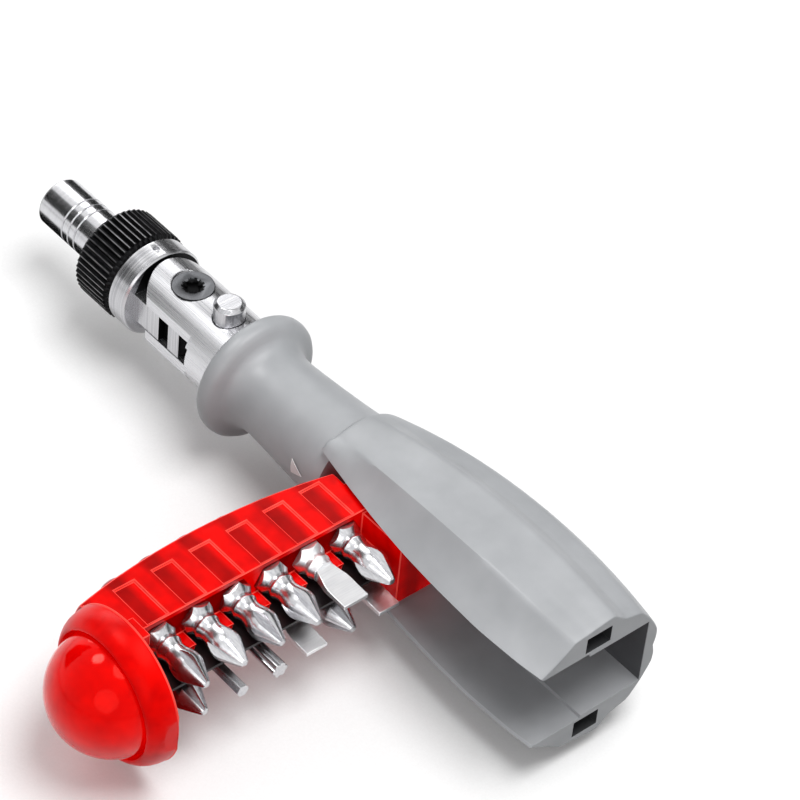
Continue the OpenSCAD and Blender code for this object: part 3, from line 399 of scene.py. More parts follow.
@dataclass
class Piece:
    """One finished piece of the scene."""

    name: str
    body: str
    finish: Finish
    slot: str
    nodes: tuple[str, ...] = ()

    def place(self, bm: Shape, palette: Palette, bevel_mm: float = 0.0, segments: int = 3,
              move: Matrix | None = None, cutters: Iterable[Shape] = (), sharp: float = 32.0,
              accents: Sequence[tuple[Finish, Callable[[Vector], bool]]] = (), clamp: bool = True,
              edge: Finish | None = None) -> bpy.types.Object:
        """Turns a bmesh in millimetres into a piece that rides on its body.

        Args:
            bm: the shape, which is freed here.
            palette: the made finishes.
            bevel_mm: radius of the rounding along sharp edges.
            segments: faces across that rounding.
            move: where the shape goes, in millimetres.
            cutters: shapes that are cut out of it.
            sharp: edges above this angle stay sharp.
            accents: other finishes, each with a test of a face's middle, in millimetres, that picks where it shows.
            clamp: whether the rounding shrinks where it has no room.
            edge: the finish of the rounding, when it isn't the piece's own.

        Returns:
            The new object.
        """
        made = self.mesh_object(self.name, bm, move)
        cut_away(made, cutters)
        made.data.materials.clear()
        made.data.materials.append(palette[self.finish])
        for number, (finish, chosen) in enumerate(accents, start=1):
            made.data.materials.append(palette[finish])
            for face in made.data.polygons:
                if chosen(face.center / MM):
                    face.material_index = number
        if bevel_mm:
            bevel = made.modifiers.new("rounding", "BEVEL")
            bevel.width, bevel.segments = bevel_mm * MM, segments
            bevel.limit_method, bevel.angle_limit = "ANGLE", math.radians(sharp)
            bevel.use_clamp_overlap = clamp
            if edge is not None:
                made.data.materials.append(palette[edge])
                bevel.material = len(made.data.materials) - 1
            made.modifiers.new("even_shading", "WEIGHTED_NORMAL").keep_sharp = True
        shade(made.data, sharp)
        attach(made, self.body)
        if self.nodes:
            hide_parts(*self.nodes)
        log.info("%s: %d faces on %s", self.name, len(made.data.polygons), self.body)
        return made

    @staticmethod
    def mesh_object(name: str, bm: Shape, move: Matrix | None = None) -> bpy.types.Object:
        """Makes an object in metres from a bmesh in millimetres."""
        if move is not None:
            moved(bm, move)
        moved(bm, resize(MM, MM, MM))
        mesh = bpy.data.meshes.new(name)
        bm.to_mesh(mesh)
        bm.free()
        return linked(name, mesh)


def closed(bm: Shape, reach: float = 1e-4) -> Shape:
    """Merges doubles, drops what has no area, and turns every face outward."""
    bmesh.ops.remove_doubles(bm, verts=bm.verts, dist=reach)
    bmesh.ops.dissolve_degenerate(bm, dist=reach, edges=bm.edges)
    bmesh.ops.recalc_face_normals(bm, faces=bm.faces)
    return bm


def wire(bm: Shape, points: Iterable[Vector], loop: bool = False) -> list[bmesh.types.BMEdge]:
    """Draws a chain of edges through points.

    Args:
        bm: where it is drawn.
        points: the chain's corners.
        loop: whether the last corner joins the first.

    Returns:
        The chain's edges.
    """
    corners = [bm.verts.new(p) for p in points]
    edges = [bm.edges.new(pair) for pair in zip(corners, corners[1:])]
    if loop:
        edges.append(bm.edges.new((corners[-1], corners[0])))
    return edges


def lathe(outline: Outline, steps: int = 96) -> Shape:
    """Spins an outline about the driver's axis.

    Args:
        outline: places along X with their radii, in millimetres. Ends on the axis close the shape.
        steps: faces round the axis.

    Returns:
        The closed shape.
    """
    bm = bmesh.new()
    edges = wire(bm, [Vector((x, 0, r)) for x, r in outline], loop=outline[0][1] > 0)
    bmesh.ops.spin(bm, geom=edges + list(bm.verts), cent=Vector(), axis=Vector((1, 0, 0)), angle=math.tau,
                   steps=steps, use_merge=True)
    return closed(bm)


def loft(rings: Sequence[Sequence[Vector]]) -> Shape:
    """Extrudes the first ring's face through the others.

    Args:
        rings: outlines with the same number of corners, from one end to the other.

    Returns:
        The closed solid.
    """
    bm = bmesh.new()
    first = bmesh.ops.contextual_create(bm, geom=wire(bm, rings[0], loop=True))["faces"][0]
    order = list(first.verts)
    start = min(range(len(order)), key=lambda k: (order[k].co - rings[0][0]).length)
    order = order[start:] + order[:start]
    if (order[1].co - rings[0][1]).length > (order[-1].co - rings[0][1]).length:
        order = [order[0]] + order[:0:-1]
    current, inner = [first], []
    for ring in rings[1:]:
        result = bmesh.ops.extrude_face_region(bm, geom=current, use_keep_orig=True)
        fresh = {tuple(v.co): v for v in result["geom"] if isinstance(v, bmesh.types.BMVert)}
        order = [fresh[tuple(v.co)] for v in order]
        for vert, target in zip(order, ring):
            vert.co = target
        current = [item for item in result["geom"] if isinstance(item, bmesh.types.BMFace)]
        inner += current
    bmesh.ops.delete(bm, geom=[face for face in inner if face not in current], context="FACES_ONLY")
    return closed(bm)


def box(low: Triple, high: Triple) -> Shape:
    """A box between two corners, in millimetres."""
    bm = bmesh.new()
    bmesh.ops.create_cube(bm, size=1.0)
    lo, hi = Vector(low), Vector(high)
    return moved(bm, resize(*(hi - lo)), shift(*(lo + hi) / 2))


def joined(first: Shape, second: Shape) -> Shape:
    """Adds the second shape to the first and frees it."""
    carrier = bpy.data.meshes.new("carrier")
    second.to_mesh(carrier)
    second.free()
    first.from_mesh(carrier)
    bpy.data.meshes.remove(carrier)
    return first


def cut_away(made: bpy.types.Object, cutters: Iterable[Shape]) -> None:
    """Cuts shapes out of an object.

    Args:
        made: the object, whose mesh is replaced.
        cutters: the shapes to cut out, in millimetres.
    """
    for cutter in cutters:
        tool = Piece.mesh_object("cutter", cutter)
        cut = made.modifiers.new("cut", "BOOLEAN")
        cut.operation, cut.solver, cut.object = "DIFFERENCE", "EXACT", tool
        graph = bpy.context.evaluated_depsgraph_get()
        result = bpy.data.meshes.new_from_object(made.evaluated_get(graph))
        made.modifiers.clear()
        made.data = result
        bpy.data.objects.remove(tool)


def in_millimetres(mesh: bpy.types.Mesh) -> Shape:
    """A copy of a mesh in metres, as a shape in millimetres."""
    bm = bmesh.new()
    bm.from_mesh(mesh)
    return moved(bm, resize(1 / MM, 1 / MM, 1 / MM))


def carved(blank: Shape, cutters: Iterable[Shape]) -> Shape:
    """Cuts shapes out of a blank, all in millimetres, and returns what is left."""
    made = Piece.mesh_object("blank", blank)
    cut_away(made, cutters)
    bm = in_millimetres(made.data)
    bpy.data.objects.remove(made)
    return bm


def solid(node: str, flat: float = 1.0) -> Shape:
    """A CAD node's shape with its flat faces joined, in millimetres, ready to be rounded.

    Args:
        node: the node's name.
        flat: faces within this angle of each other, in degrees, are joined.

    Returns:
        The shape.
    """
    bm = in_millimetres(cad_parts[node].data)
    bmesh.ops.remove_doubles(bm, verts=bm.verts, dist=1e-3)
    bmesh.ops.dissolve_limit(bm, angle_limit=math.radians(flat), verts=bm.verts, edges=bm.edges)
    return closed(bm, 1e-3)


def between(table: Outline, place: float) -> float:
    """Reads a table of places and values, with straight lines between its rows."""
    rows = sorted(table)
    if place <= rows[0][0]:
        return rows[0][1]
    for (x0, v0), (x1, v1) in zip(rows, rows[1:]):
        if place <= x1:
            return v0 + (v1 - v0) * (place - x0) / (x1 - x0)
    return rows[-1][1]


def eased(table: Outline, place: float, reach: float) -> float:
    """The mean of a table over a reach on both sides of a place, which rounds its corners."""
    return sum(between(table, place + reach * k / 4) for k in range(-4, 5)) / 9


@dataclass
class Grip:
    """The grey handle with its two jaws, the neck with its flange, and the printed arrow."""

    front: float = -94.0
    butt: float = -162.2
    wall: float = -96.1
    mid: float = -135.0
    radius: float = 18.1
    curve: float = 150.0
    channel_back: float = -12.3
    hinge_back: float = -9.24
    deep: float = -106.83
    channel_half: float = 7.8
    mouth_half: float = 8.6
    step: float = 2.3
    lip: float = 0.5
    nose_r: float = 11.1
    crease_angle: float = 64.0
    # Length over which the facets fade in behind the front, and the round front's share of the curve's radius
    fade: float = 14.0
    round_share: float = 0.97
    # The latch holes: distance from the axis, half height, depth, and reach along Y
    latch_z: float = 11.1
    latch_half: float = 1.9
    latch_depth: float = 7.0
    latch_y: tuple[float, float] = (-2.4, 3.6)
    arrow_scale: float = 0.72
    arrow_from: Vector = field(default_factory=lambda: Vector((-86.5, 10.0, 0.0)))
    arrow_at: Vector = field(default_factory=lambda: Vector((-89.6, 10.28, 0.6)))
    # Radius as a share of the handle's curve, by angle from the opening side
    facets: Outline = ((64, 0.985), (76, 0.938), (88, 0.94), (101, 0.982), (108, 0.925), (115, 0.89), (123, 0.925),
                       (131, 0.978), (142, 0.97), (153, 0.975), (164, 1.0), (172, 0.98), (180, 0.94))
    # Reach of the jaws' edges toward the opening, by place along the axis
    edges: Outline = ((-162.2, 14.0), (-157, 14.7), (-146, 15.2), (-134, 14.7), (-124, 13.9), (-115, 12.7),
                      (-105, 11.0), (-98, 9.6), (-94, 8.8))
    # Places along X with their radii, round the neck's flange and sleeve
    neck: Outline = ((-63.5, 9.15), (-62.0, 9.15), (-62.0, 11.8), (-62.15, 12.6), (-62.6, 13.2), (-63.2, 13.5),
                     (-64.2, 13.6), (-65.2, 13.4), (-65.9, 12.9), (-66.4, 12.1), (-66.7, 11.0), (-67.2, 10.2),
                     (-68.2, 9.55), (-69.6, 9.15), (-72, 9.0), (-76, 9.2), (-82, 9.6), (-88, 10.1), (-94.6, 10.8),
                     (-94.6, 7.5), (-63.5, 7.5))

    def curve_radius(self, x: float) -> float:
        """The handle's radius at a place along the axis."""
        return self.radius - self.curve + math.sqrt(self.curve ** 2 - (x - self.mid) ** 2)

    def share(self, angle: float, soft: float) -> float:
        """The radius as a share of the curve's at an angle, from 0 for round to 1 for fully faceted."""
        return self.round_share + (eased(self.facets, angle, 1.0) - self.round_share) * soft

    def outer(self, x: float, shrink: float) -> list[Vector]:
        """The outside of the top jaw from its edge to the middle of the back.

        Args:
            x: place along the axis.
            shrink: how far the outline stands inside the full one.

        Returns:
            Points in the plane of X.
        """
        radius = self.curve_radius(x) - shrink
        soft = min(1.0, max(0.0, (self.front - x) / self.fade))
        crease = radius * self.share(self.crease_angle, soft)
        a = math.radians(self.crease_angle)
        start = Vector((x, eased(self.edges, x, 2) - shrink, self.mouth_half + self.lip - shrink * 0.2))
        end = Vector((x, crease * math.cos(a), crease * math.sin(a)))
        points = []
        for k in range(10):
            t = k / 10
            crown = 0.35 * math.sin(math.pi * t) * (1 - soft) * 2
            flat = start.lerp(end, t)
            out = Vector((0, flat.y, flat.z)).normalized()
            points.append(flat + out * (crown - 0.25 * soft * math.sin(math.pi * t)))
        for k in range(int((180 - self.crease_angle) / 2) + 1):
            angle = self.crease_angle + 2 * k
            share = self.share(angle, soft)
            a = math.radians(angle)
            points.append(Vector((x, radius * share * math.cos(a), radius * share * math.sin(a))))
        return points

    def jaw_ring(self, x: float, shrink: float = 0.0, nose: bool = False, deep: bool = False) -> list[Vector]:
        """The C-shaped section at a place along the axis.

        Args:
            x: place along the axis.
            shrink: how far the outside stands in from the full outline.
            nose: whether the inside follows the round nose instead of the channel.
            deep: whether a section at the channel's step takes its deep side.

        Returns:
            The outline's points in order.
        """
        top = self.outer(x, shrink)
        under = [Vector((p.x, p.y, -p.z)) for p in reversed(top[:-1])]
        edge = top[0].y - 0.4
        if nose:
            heights = [self.mouth_half, 8.3, 7.9] + [7.4 * (1 - k / 8) for k in range(9)]
            inner = [(edge, self.mouth_half)] + [(math.sqrt(self.nose_r ** 2 - z * z), z) for z in heights]
        else:
            back = self.channel_back if x < self.deep - 0.01 or (deep and x < self.deep + 0.01) else self.hinge_back
            inner = [(edge, self.mouth_half), (self.step, self.mouth_half), (self.step, self.channel_half)]
            inner += [(back, self.channel_half * (1 - k / 9)) for k in range(10)]
        inside_top = [Vector((x, y, z)) for y, z in inner]
        inside_under = [Vector((p.x, p.y, -p.z)) for p in inside_top[:-1]]
        return top + under + inside_under + list(reversed(inside_top))

    def build(self, palette: Palette) -> None:
        """Builds the handle, the neck and the arrow."""
        front = ((self.front, 0.9), (self.front - 0.25, 0.4), (self.front - 0.7, 0.1), (self.front - 1.2, 0.0),
                 (self.wall, 0.0))
        butt = ((self.butt + 0.5, 0.0), (self.butt + 0.15, 0.12), (self.butt, 0.45))
        rings = [self.jaw_ring(x, shrink, nose=True) for x, shrink in front]
        rings += [self.jaw_ring(x) for x in [self.wall] + [self.wall - 1.8 * k for k in range(1, 6)] + [self.deep]]
        rings += [self.jaw_ring(self.deep, deep=True)] + [self.jaw_ring(self.deep - 2.0 * k) for k in range(1, 28)]
        rings += [self.jaw_ring(x, shrink) for x, shrink in butt]
        slots = [box((self.butt - 1, self.latch_y[0], side * self.latch_z - self.latch_half),
                     (self.butt + self.latch_depth, self.latch_y[1], side * self.latch_z + self.latch_half))
                 for side in (-1, 1)]
        Piece("handle_jaws", "handle", Finish.GRIP, "handle_grip", ("handle_shell",)).place(
            loft(rings), palette, 0.3, 3, cutters=slots, sharp=35,
            # Painted shade: dark grey in the latch holes and darker grey on the channel's back wall
            accents=[(Finish.SHADE, self.in_latch), (Finish.INSIDE_SHADE, self.in_channel)])
        Piece("neck_grip", "handle", Finish.GRIP, "neck_grip", ("neck_sleeve",)).place(
            lathe(self.neck, 128), palette, 0.12, 2)
        Piece("printed_arrow", "handle", Finish.PRINT, "white_print", ("neck_arrow",)).place(
            solid("neck_arrow"), palette,
            move=shift(*self.arrow_at) @ Matrix.Scale(self.arrow_scale, 4) @ shift(*-self.arrow_from))

    def in_latch(self, middle: Vector) -> bool:
        """Whether a face lies inside one of the two latch holes in the butt, which are painted dark grey as shade."""
        return (self.butt + 0.3 < middle.x < self.butt + self.latch_depth + 0.1
                and self.latch_y[0] - 0.1 < middle.y < self.latch_y[1] + 0.1
                and abs(abs(middle.z) - self.latch_z) < self.latch_half + 0.1)

    def in_channel(self, middle: Vector) -> bool:
        """Whether a face belongs to the back wall of the channel, which is painted darker grey as shade."""
        return (self.channel_back - 0.1 < middle.y < self.hinge_back + 0.1 and abs(middle.z) < self.channel_half
                and self.butt + 0.3 < middle.x < self.deep + 0.1)


@dataclass
class DirectionRing:
    """The black ring whose straight ribs are rolled into it."""

    front: float = -18.8
    rear: float = -29.2
    bore: float = 8.55
    relief: float = 8.9
    valley: float = 9.6
    crest: float = 10.2
    ribs: int = 48
    chamfer: float = 0.7
    # Radius at each sixth of a rib
    rib: tuple[float, ...] = (10.18, 10.2, 10.08, 9.72, 9.6, 9.8)

    def build(self, palette: Palette) -> None:
        """Builds the ring from one spun band whose ribs are raised."""
        low, per = self.valley, len(self.rib)
        outline = [(self.front, self.bore), (self.front, low - 0.35), (self.front - self.chamfer, low),
                   (self.rear + self.chamfer, low), (self.rear, low - 0.35), (self.rear, self.relief),
                   (self.front - 6.5, self.relief), (self.front - 6.5, self.bore)]
        bm = lathe(outline, self.ribs * per)
        for vert in bm.verts:
            radius = math.hypot(vert.co.y, vert.co.z)
            if abs(radius - low) < 0.01:
                tooth = round(math.atan2(vert.co.z, vert.co.y) / math.tau * self.ribs * per) % per
                grow = self.rib[tooth] / radius
                vert.co.y *= grow
                vert.co.z *= grow
        Piece("direction_ring", "selector", Finish.OXIDE, "black_oxide", ("selector_ring",)).place(
            # The rib crests take a painted highlight
            closed(bm), palette, sharp=28, accents=[(Finish.CREST_HIGHLIGHT, self.on_crest)])

    def on_crest(self, middle: Vector) -> bool:
        """Whether a face lies along a rib's crest, which is painted lighter steel as a highlight."""
        return math.hypot(middle.y, middle.z) > self.crest - 0.06 and self.rear + 0.6 < middle.x < self.front - 0.6


@dataclass
class Head:
    """The steel head: its fork, tongue, collar, lip, tube and lock."""

    pivot_x: float = -43.9
    tongue_r: float = 9.0
    tongue_half: float = 7.0
    star_r: float = 2.1
    screw_r: float = 4.4
    # Radius of the screw head's rounding, travel of the button, and place of the collar's rear
    screw_edge: float = 0.3
    press: float = 1.8
    back: float = -34.5
    lip: Outline = ((-18.0, 7.7), (-18.0, 8.0), (-18.2, 8.2), (-18.5, 8.3), (-19.6, 8.3), (-19.6, 6.3), (-23.0, 6.3),
                    (-23.0, 5.1), (-19.4, 5.1), (-19.4, 5.95), (-18.3, 7.5))
    cad: dict[str, Finish] = field(default_factory=lambda: {
        "shank_screw": Finish.OXIDE, "hinge_pin": Finish.POLISHED, "pivot_nut": Finish.SCREW,
        "lock_plug": Finish.SCREW, "socket_magnet": Finish.NICKEL,
        "ratchet_gear": Finish.HARDENED, "thrust_washer": Finish.BRONZE, "pawl_forward": Finish.HARDENED,
        "pawl_reverse": Finish.HARDENED, "pawl_pins": Finish.SPRING, "pawl_spring": Finish.SPRING,
        "detent_ball": Finish.POLISHED, "detent_spring": Finish.SPRING})

    def in_notch(self, middle: Vector) -> bool:
        """Whether a face of the tongue lies inside one of its lock notches, which are painted black as shade."""
        reach = math.hypot(middle.x - self.pivot_x, middle.y)
        return (4.0 < reach < self.tongue_r - 0.1 and middle.x < self.pivot_x + 2.5
                and abs(middle.y) < self.tongue_half - 0.05 and abs(middle.z) < 3.05)

    def on_back(self, middle: Vector) -> bool:
        """Whether a face lies on the collar's rear, which stands in the shadow of the fork."""
        return abs(middle.x - self.back) < 0.05 and math.hypot(middle.y, middle.z) > 5.0

    def in_star(self, middle: Vector) -> bool:
        """Whether a face of the pivot screw lies in its star recess, which is painted dark as shade."""
        return math.hypot(middle.x - self.pivot_x, middle.y) < self.star_r and 5.5 < middle.z < 8.7

    def on_rim(self, middle: Vector) -> bool:
        """Whether a face of the pivot screw lies on the rounded rim of its head, which sits in shadow."""
        return math.hypot(middle.x - self.pivot_x, middle.y) > self.screw_r - self.screw_edge - 0.01 and middle.z > 7.0

    def build(self, palette: Palette) -> None:
        """Rounds the edges of the turned and milled pieces, and gives every solid of the head its finish."""
        for node, finish in self.cad.items():
            dress(node, finish, palette)
        Piece("fork", "handle", Finish.MILLED, "satin_steel", ("shank_clevis",)).place(
            solid("shank_clevis"), palette, 0.16, 3, clamp=False)
        Piece("tongue_and_collar", "head", Finish.TURNED, "satin_steel", ("ratchet_housing",)).place(
            solid("ratchet_housing"), palette, 0.12, 2,
            # Painted shade: near-black in the lock notches and on the collar's rear
            accents=[(Finish.RECESS_SHADE, self.in_notch), (Finish.RECESS_SHADE, self.on_back)])
        screw = solid("pivot_screw")
        head = max(screw.verts, key=lambda vert: vert.co.z).co.z
        reach = {edge: max(math.hypot(vert.co.x - self.pivot_x, vert.co.y) for vert in edge.verts)
                 for edge in screw.edges if min(vert.co.z for vert in edge.verts) > head - 0.05}
        rim = [edge for edge, far in reach.items() if far > self.star_r + 0.5]
        self.screw_r = max(reach.values())
        bmesh.ops.bevel(screw, geom=rim, offset=self.screw_edge, segments=2, profile=0.5, affect="EDGES",
                        material=-1, clamp_overlap=True)
        Piece("star_screw", "handle", Finish.SCREW, "dark_steel", ("pivot_screw",)).place(
            # Painted shade: near-black in the star recess and on the head's rim
            screw, palette, accents=[(Finish.RECESS_SHADE, self.in_star), (Finish.RECESS_SHADE, self.on_rim)])
        Piece("push_button", "lock_button", Finish.TURNED, "polished_steel", ("lock_button",)).place(
            solid("lock_button"), palette, 0.15, 3, clamp=False)
        coil = Piece("lock_coil", "handle", Finish.SPRING, "spring_steel", ("lock_spring",)).place(
            solid("lock_spring"), palette)
        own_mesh(coil)
        Piece("front_lip", "head", Finish.POLISHED, "polished_steel", ("front_cap",)).place(
            lathe(self.lip, 128), palette)
        Piece("socket_tube", "spindle", Finish.POLISHED, "polished_steel", ("bit_socket",)).place(
            solid("bit_socket"), palette, 0.12, 3, clamp=False)


@dataclass
class Bit:
    """One quarter-inch bit, drawn from the end of its shank, with its place in the open magazine."""

    node: str
    seat: Vector
    twist: float = 0.0
    # Length of the hex, and its radius over the corners
    shank: float = 12.4
    corner: float = 3.666

    def blank(self) -> Shape:
        """The hex shank with its turned shoulder, and the neck."""
        end, corner = self.shank, self.corner
        bar = moved(lathe([(0, 0), (0, 3.3), (0.5, corner), (end + 0.6, corner), (end + 0.6, 0)], 6), turn(30, "X"))
        turned = lathe([(end - 1.2, 4.4), (end - 1.2, 3.72), (end + 0.2, 2.75), (end + 0.45, 2.5), (end + 0.7, 2.45),
                        (end + 0.7, 4.4)], 48)
        neck = lathe([(end + 0.5, 0), (end + 0.5, 2.42), (13.3, 2.42), (13.6, 2.6), (14.1, 2.68), (14.5, 2.5),
                      (14.9, 2.3), (15.7, 2.25), (15.7, 0)], 48)
        return joined(carved(bar, [turned]), neck)

    def piece(self, finish: Finish) -> Piece:
        """The piece that stands for the bit, which rides on a body of its own."""
        return Piece(self.node + "_ground", self.node, finish, "bit_steel", (self.node,))

    def place(self, bm: Shape, palette: Palette, finish: Finish, sharp: float) -> None:
        """Puts a finished bit in its socket."""
        move = shift(*self.seat) @ turn(180, "Z") @ turn(self.twist, "X")
        self.piece(finish).place(bm, palette, 0.08, 2, move, sharp=sharp)


@dataclass
class CrossBit(Bit):
    """A cross point: four wings between four ground flutes."""

    # Distance from the shank's end, and radius, along the wings' outside
    wings: Outline = ((15.6, 0), (15.6, 2.25), (16.2, 2.3), (17.0, 2.5), (18.0, 2.8), (19.0, 2.98), (19.8, 3.0),
                      (20.5, 2.85), (24.5, 1.0), (24.9, 0.75), (25.0, 0.45), (25.0, 0))
    flute_start: float = 16.4
    flute_lean: float = 15.0
    flute_out: float = 2.75
    grinder: float = 2.4

    def flute(self, quarter: int) -> Shape:
        """The square bar that grinds one flute, leaning inwards towards the tip."""
        half = self.grinder
        return moved(box((-0.2, -half, -half), (14.0, half, half)), turn(45, "X"), shift(0, 0, half * math.sqrt(2)),
                     turn(self.flute_lean, "Y"), shift(self.flute_start, 0, self.flute_out), turn(90 * quarter, "X"))

    def build(self, palette: Palette) -> None:
        """Builds the bit."""
        ground = carved(lathe(self.wings, 48), [self.flute(quarter) for quarter in range(4)])
        self.place(joined(self.blank(), ground), palette, Finish.BIT, 24)


@dataclass
class SlotBit(Bit):
    """A flat blade that flares from the neck."""

    width: float = 5.6
    tip: float = 0.8

    def build(self, palette: Palette) -> None:
        """Builds the bit."""
        wide = self.width
        corners = ((-1, -1), (1, -1), (1, 1), (-1, 1))
        # Distance from the shank's end, width and thickness
        rows = [(14.9, 2.6, 2.6), (16.0, 3.7, 2.5), (17.6, 0.8 * wide, 2.0), (19.0, 0.95 * wide, 1.6),
                (20.4, wide, 1.25), (22.0, wide, 1.0), (25.0, wide, self.tip)]
        rings = [[Vector((x, y * w / 2, z * t / 2)) for y, z in corners] for x, w, t in rows]
        self.place(joined(self.blank(), loft(rings)), palette, Finish.BLADE, 30)


@dataclass
class KeyBit(Bit):
    """A hex or star key, ground from the same blank as the solid."""

    def build(self, palette: Palette) -> None:
        """Rounds the solid's edges and gives it its finish."""
        self.piece(Finish.BIT).place(solid(self.node), palette, 0.06, 2, clamp=False)


@dataclass
class Magazine:
    """The red bit magazine with its matte ring and polished dome, the plate between the rows painted near-black as
    shade, and the bits.

    The ring and the dome are turned about the driver's own axis as if the magazine were closed, then swung open.
    """

    pin: Vector = field(default_factory=lambda: Vector((-107.2, 6.0, 0.0)))
    pin_closed: Vector = field(default_factory=lambda: Vector((-100.5, 6.0, 0.0)))
    ring_face: float = -162.5
    flat_x: float = -128.2
    shank_x: float = -99.55
    row_z: float = 3.6
    first_y: float = 59.1
    pitch: float = 8.56
    ring: Outline = ((-162.5, 7.0), (-162.5, 15.0), (-162.7, 15.3), (-163.2, 15.42), (-164.4, 15.3),
                     (-165.6, 15.0), (-166.5, 14.6), (-167.2, 14.1), (-167.75, 13.6), (-168.05, 13.2), (-168.1, 12.95),
                     (-168.0, 12.75), (-167.6, 12.6), (-166.4, 12.45), (-165.6, 12.3), (-165.6, 7.0))
    dome_centre: float = -165.8
    dome_r: float = 12.28
    # How far one moulding reaches into the next
    overlap: float = 0.4

    def opened(self) -> Matrix:
        """Carries a closed place to its place in the open magazine."""
        return shift(*self.pin) @ turn(-90, "Z") @ shift(*-self.pin_closed)

    @staticmethod
    def halved(bm: Shape, seat: Vector, outward: Vector) -> None:
        """Cuts a shape off on one side of a plane and closes it again."""
        geometry = list(bm.verts) + list(bm.edges) + list(bm.faces)
        cut = bmesh.ops.bisect_plane(bm, geom=geometry, plane_co=seat, plane_no=outward, clear_outer=True)
        rim = [item for item in cut["geom_cut"] if isinstance(item, bmesh.types.BMEdge)]
        bmesh.ops.holes_fill(bm, edges=rim)

    def trimmed(self, bm: Shape) -> Shape:
        """Takes the flat off the side of the open magazine that closes against the handle's back."""
        self.halved(bm, Vector((self.flat_x, 0, 0)), Vector((-1, 0, 0)))
        return closed(bm)

    def shell(self, palette: Palette) -> None:
        """Builds the moulding without its ring: the solid's shape with rounded edges, whose rounding is painted a
        lighter red as a highlight.
        """
        bm = solid("magazine_body")
        plane = self.opened() @ Vector((self.ring_face - self.overlap, 0, 0))
        self.halved(bm, plane, Vector((0, 1, 0)))
        Piece("magazine_shell", "magazine", Finish.RED_RIB_SHADED, "clear_red", ("magazine_body",)).place(
            # The rounding takes a lighter red: a painted highlight along the edges
            self.trimmed(bm), palette, 0.2, 3, clamp=False, edge=Finish.RED_EDGE_HIGHLIGHT)

    def build(self, palette: Palette) -> None:
        """Builds the magazine and fills it."""
        self.shell(palette)
        ring = moved(lathe(self.ring, 128), self.opened())
        Piece("magazine_ring", "magazine", Finish.RED_MATTE, "clear_red").place(
            self.trimmed(ring), palette, 0.15, 2, sharp=50)
        arc = [(self.dome_centre - self.dome_r * math.cos(math.radians(a)), self.dome_r * math.sin(math.radians(a)))
               for a in range(0, 93, 3)]
        back = self.dome_centre + self.overlap
        Piece("polished_dome", "magazine", Finish.RED, "clear_red", ("magazine_dome",)).place(
            lathe(arc + [(back, self.dome_r - 0.03), (back, 0)], 96), palette, move=self.opened())
        # The plate between the rows is painted near-black as shade
        dress("row_divider", Finish.BLACK, palette)
        for bit in self.bits():
            bit.build(palette)

    def seat(self, place: int, side: int) -> Vector:
        """Where a bit's shank ends, by its place from the dome and its row."""
        return Vector((self.shank_x, self.first_y - place * self.pitch, side * self.row_z))

    def bits(self) -> list[CrossBit | SlotBit | KeyBit]:
        """The twelve bits, from the dome to the hinge, the upper row first."""
        return [CrossBit("bit_cross_1", self.seat(0, 1), 8), CrossBit("bit_cross_2", self.seat(1, 1), -12),
                CrossBit("bit_cross_3", self.seat(2, 1), 20), CrossBit("bit_cross_4", self.seat(3, 1), 5),
                SlotBit("bit_slot_5", self.seat(4, 1)), CrossBit("bit_cross_6", self.seat(5, 1), -6),
                CrossBit("bit_cross_7", self.seat(0, -1), 10), KeyBit("bit_hex_8", self.seat(1, -1)),
                KeyBit("bit_star_9", self.seat(2, -1)), SlotBit("bit_slot_10", self.seat(3, -1), width=4.8),
                CrossBit("bit_cross_11", self.seat(4, -1), 14), SlotBit("bit_slot_12", self.seat(5, -1), width=4.8)]


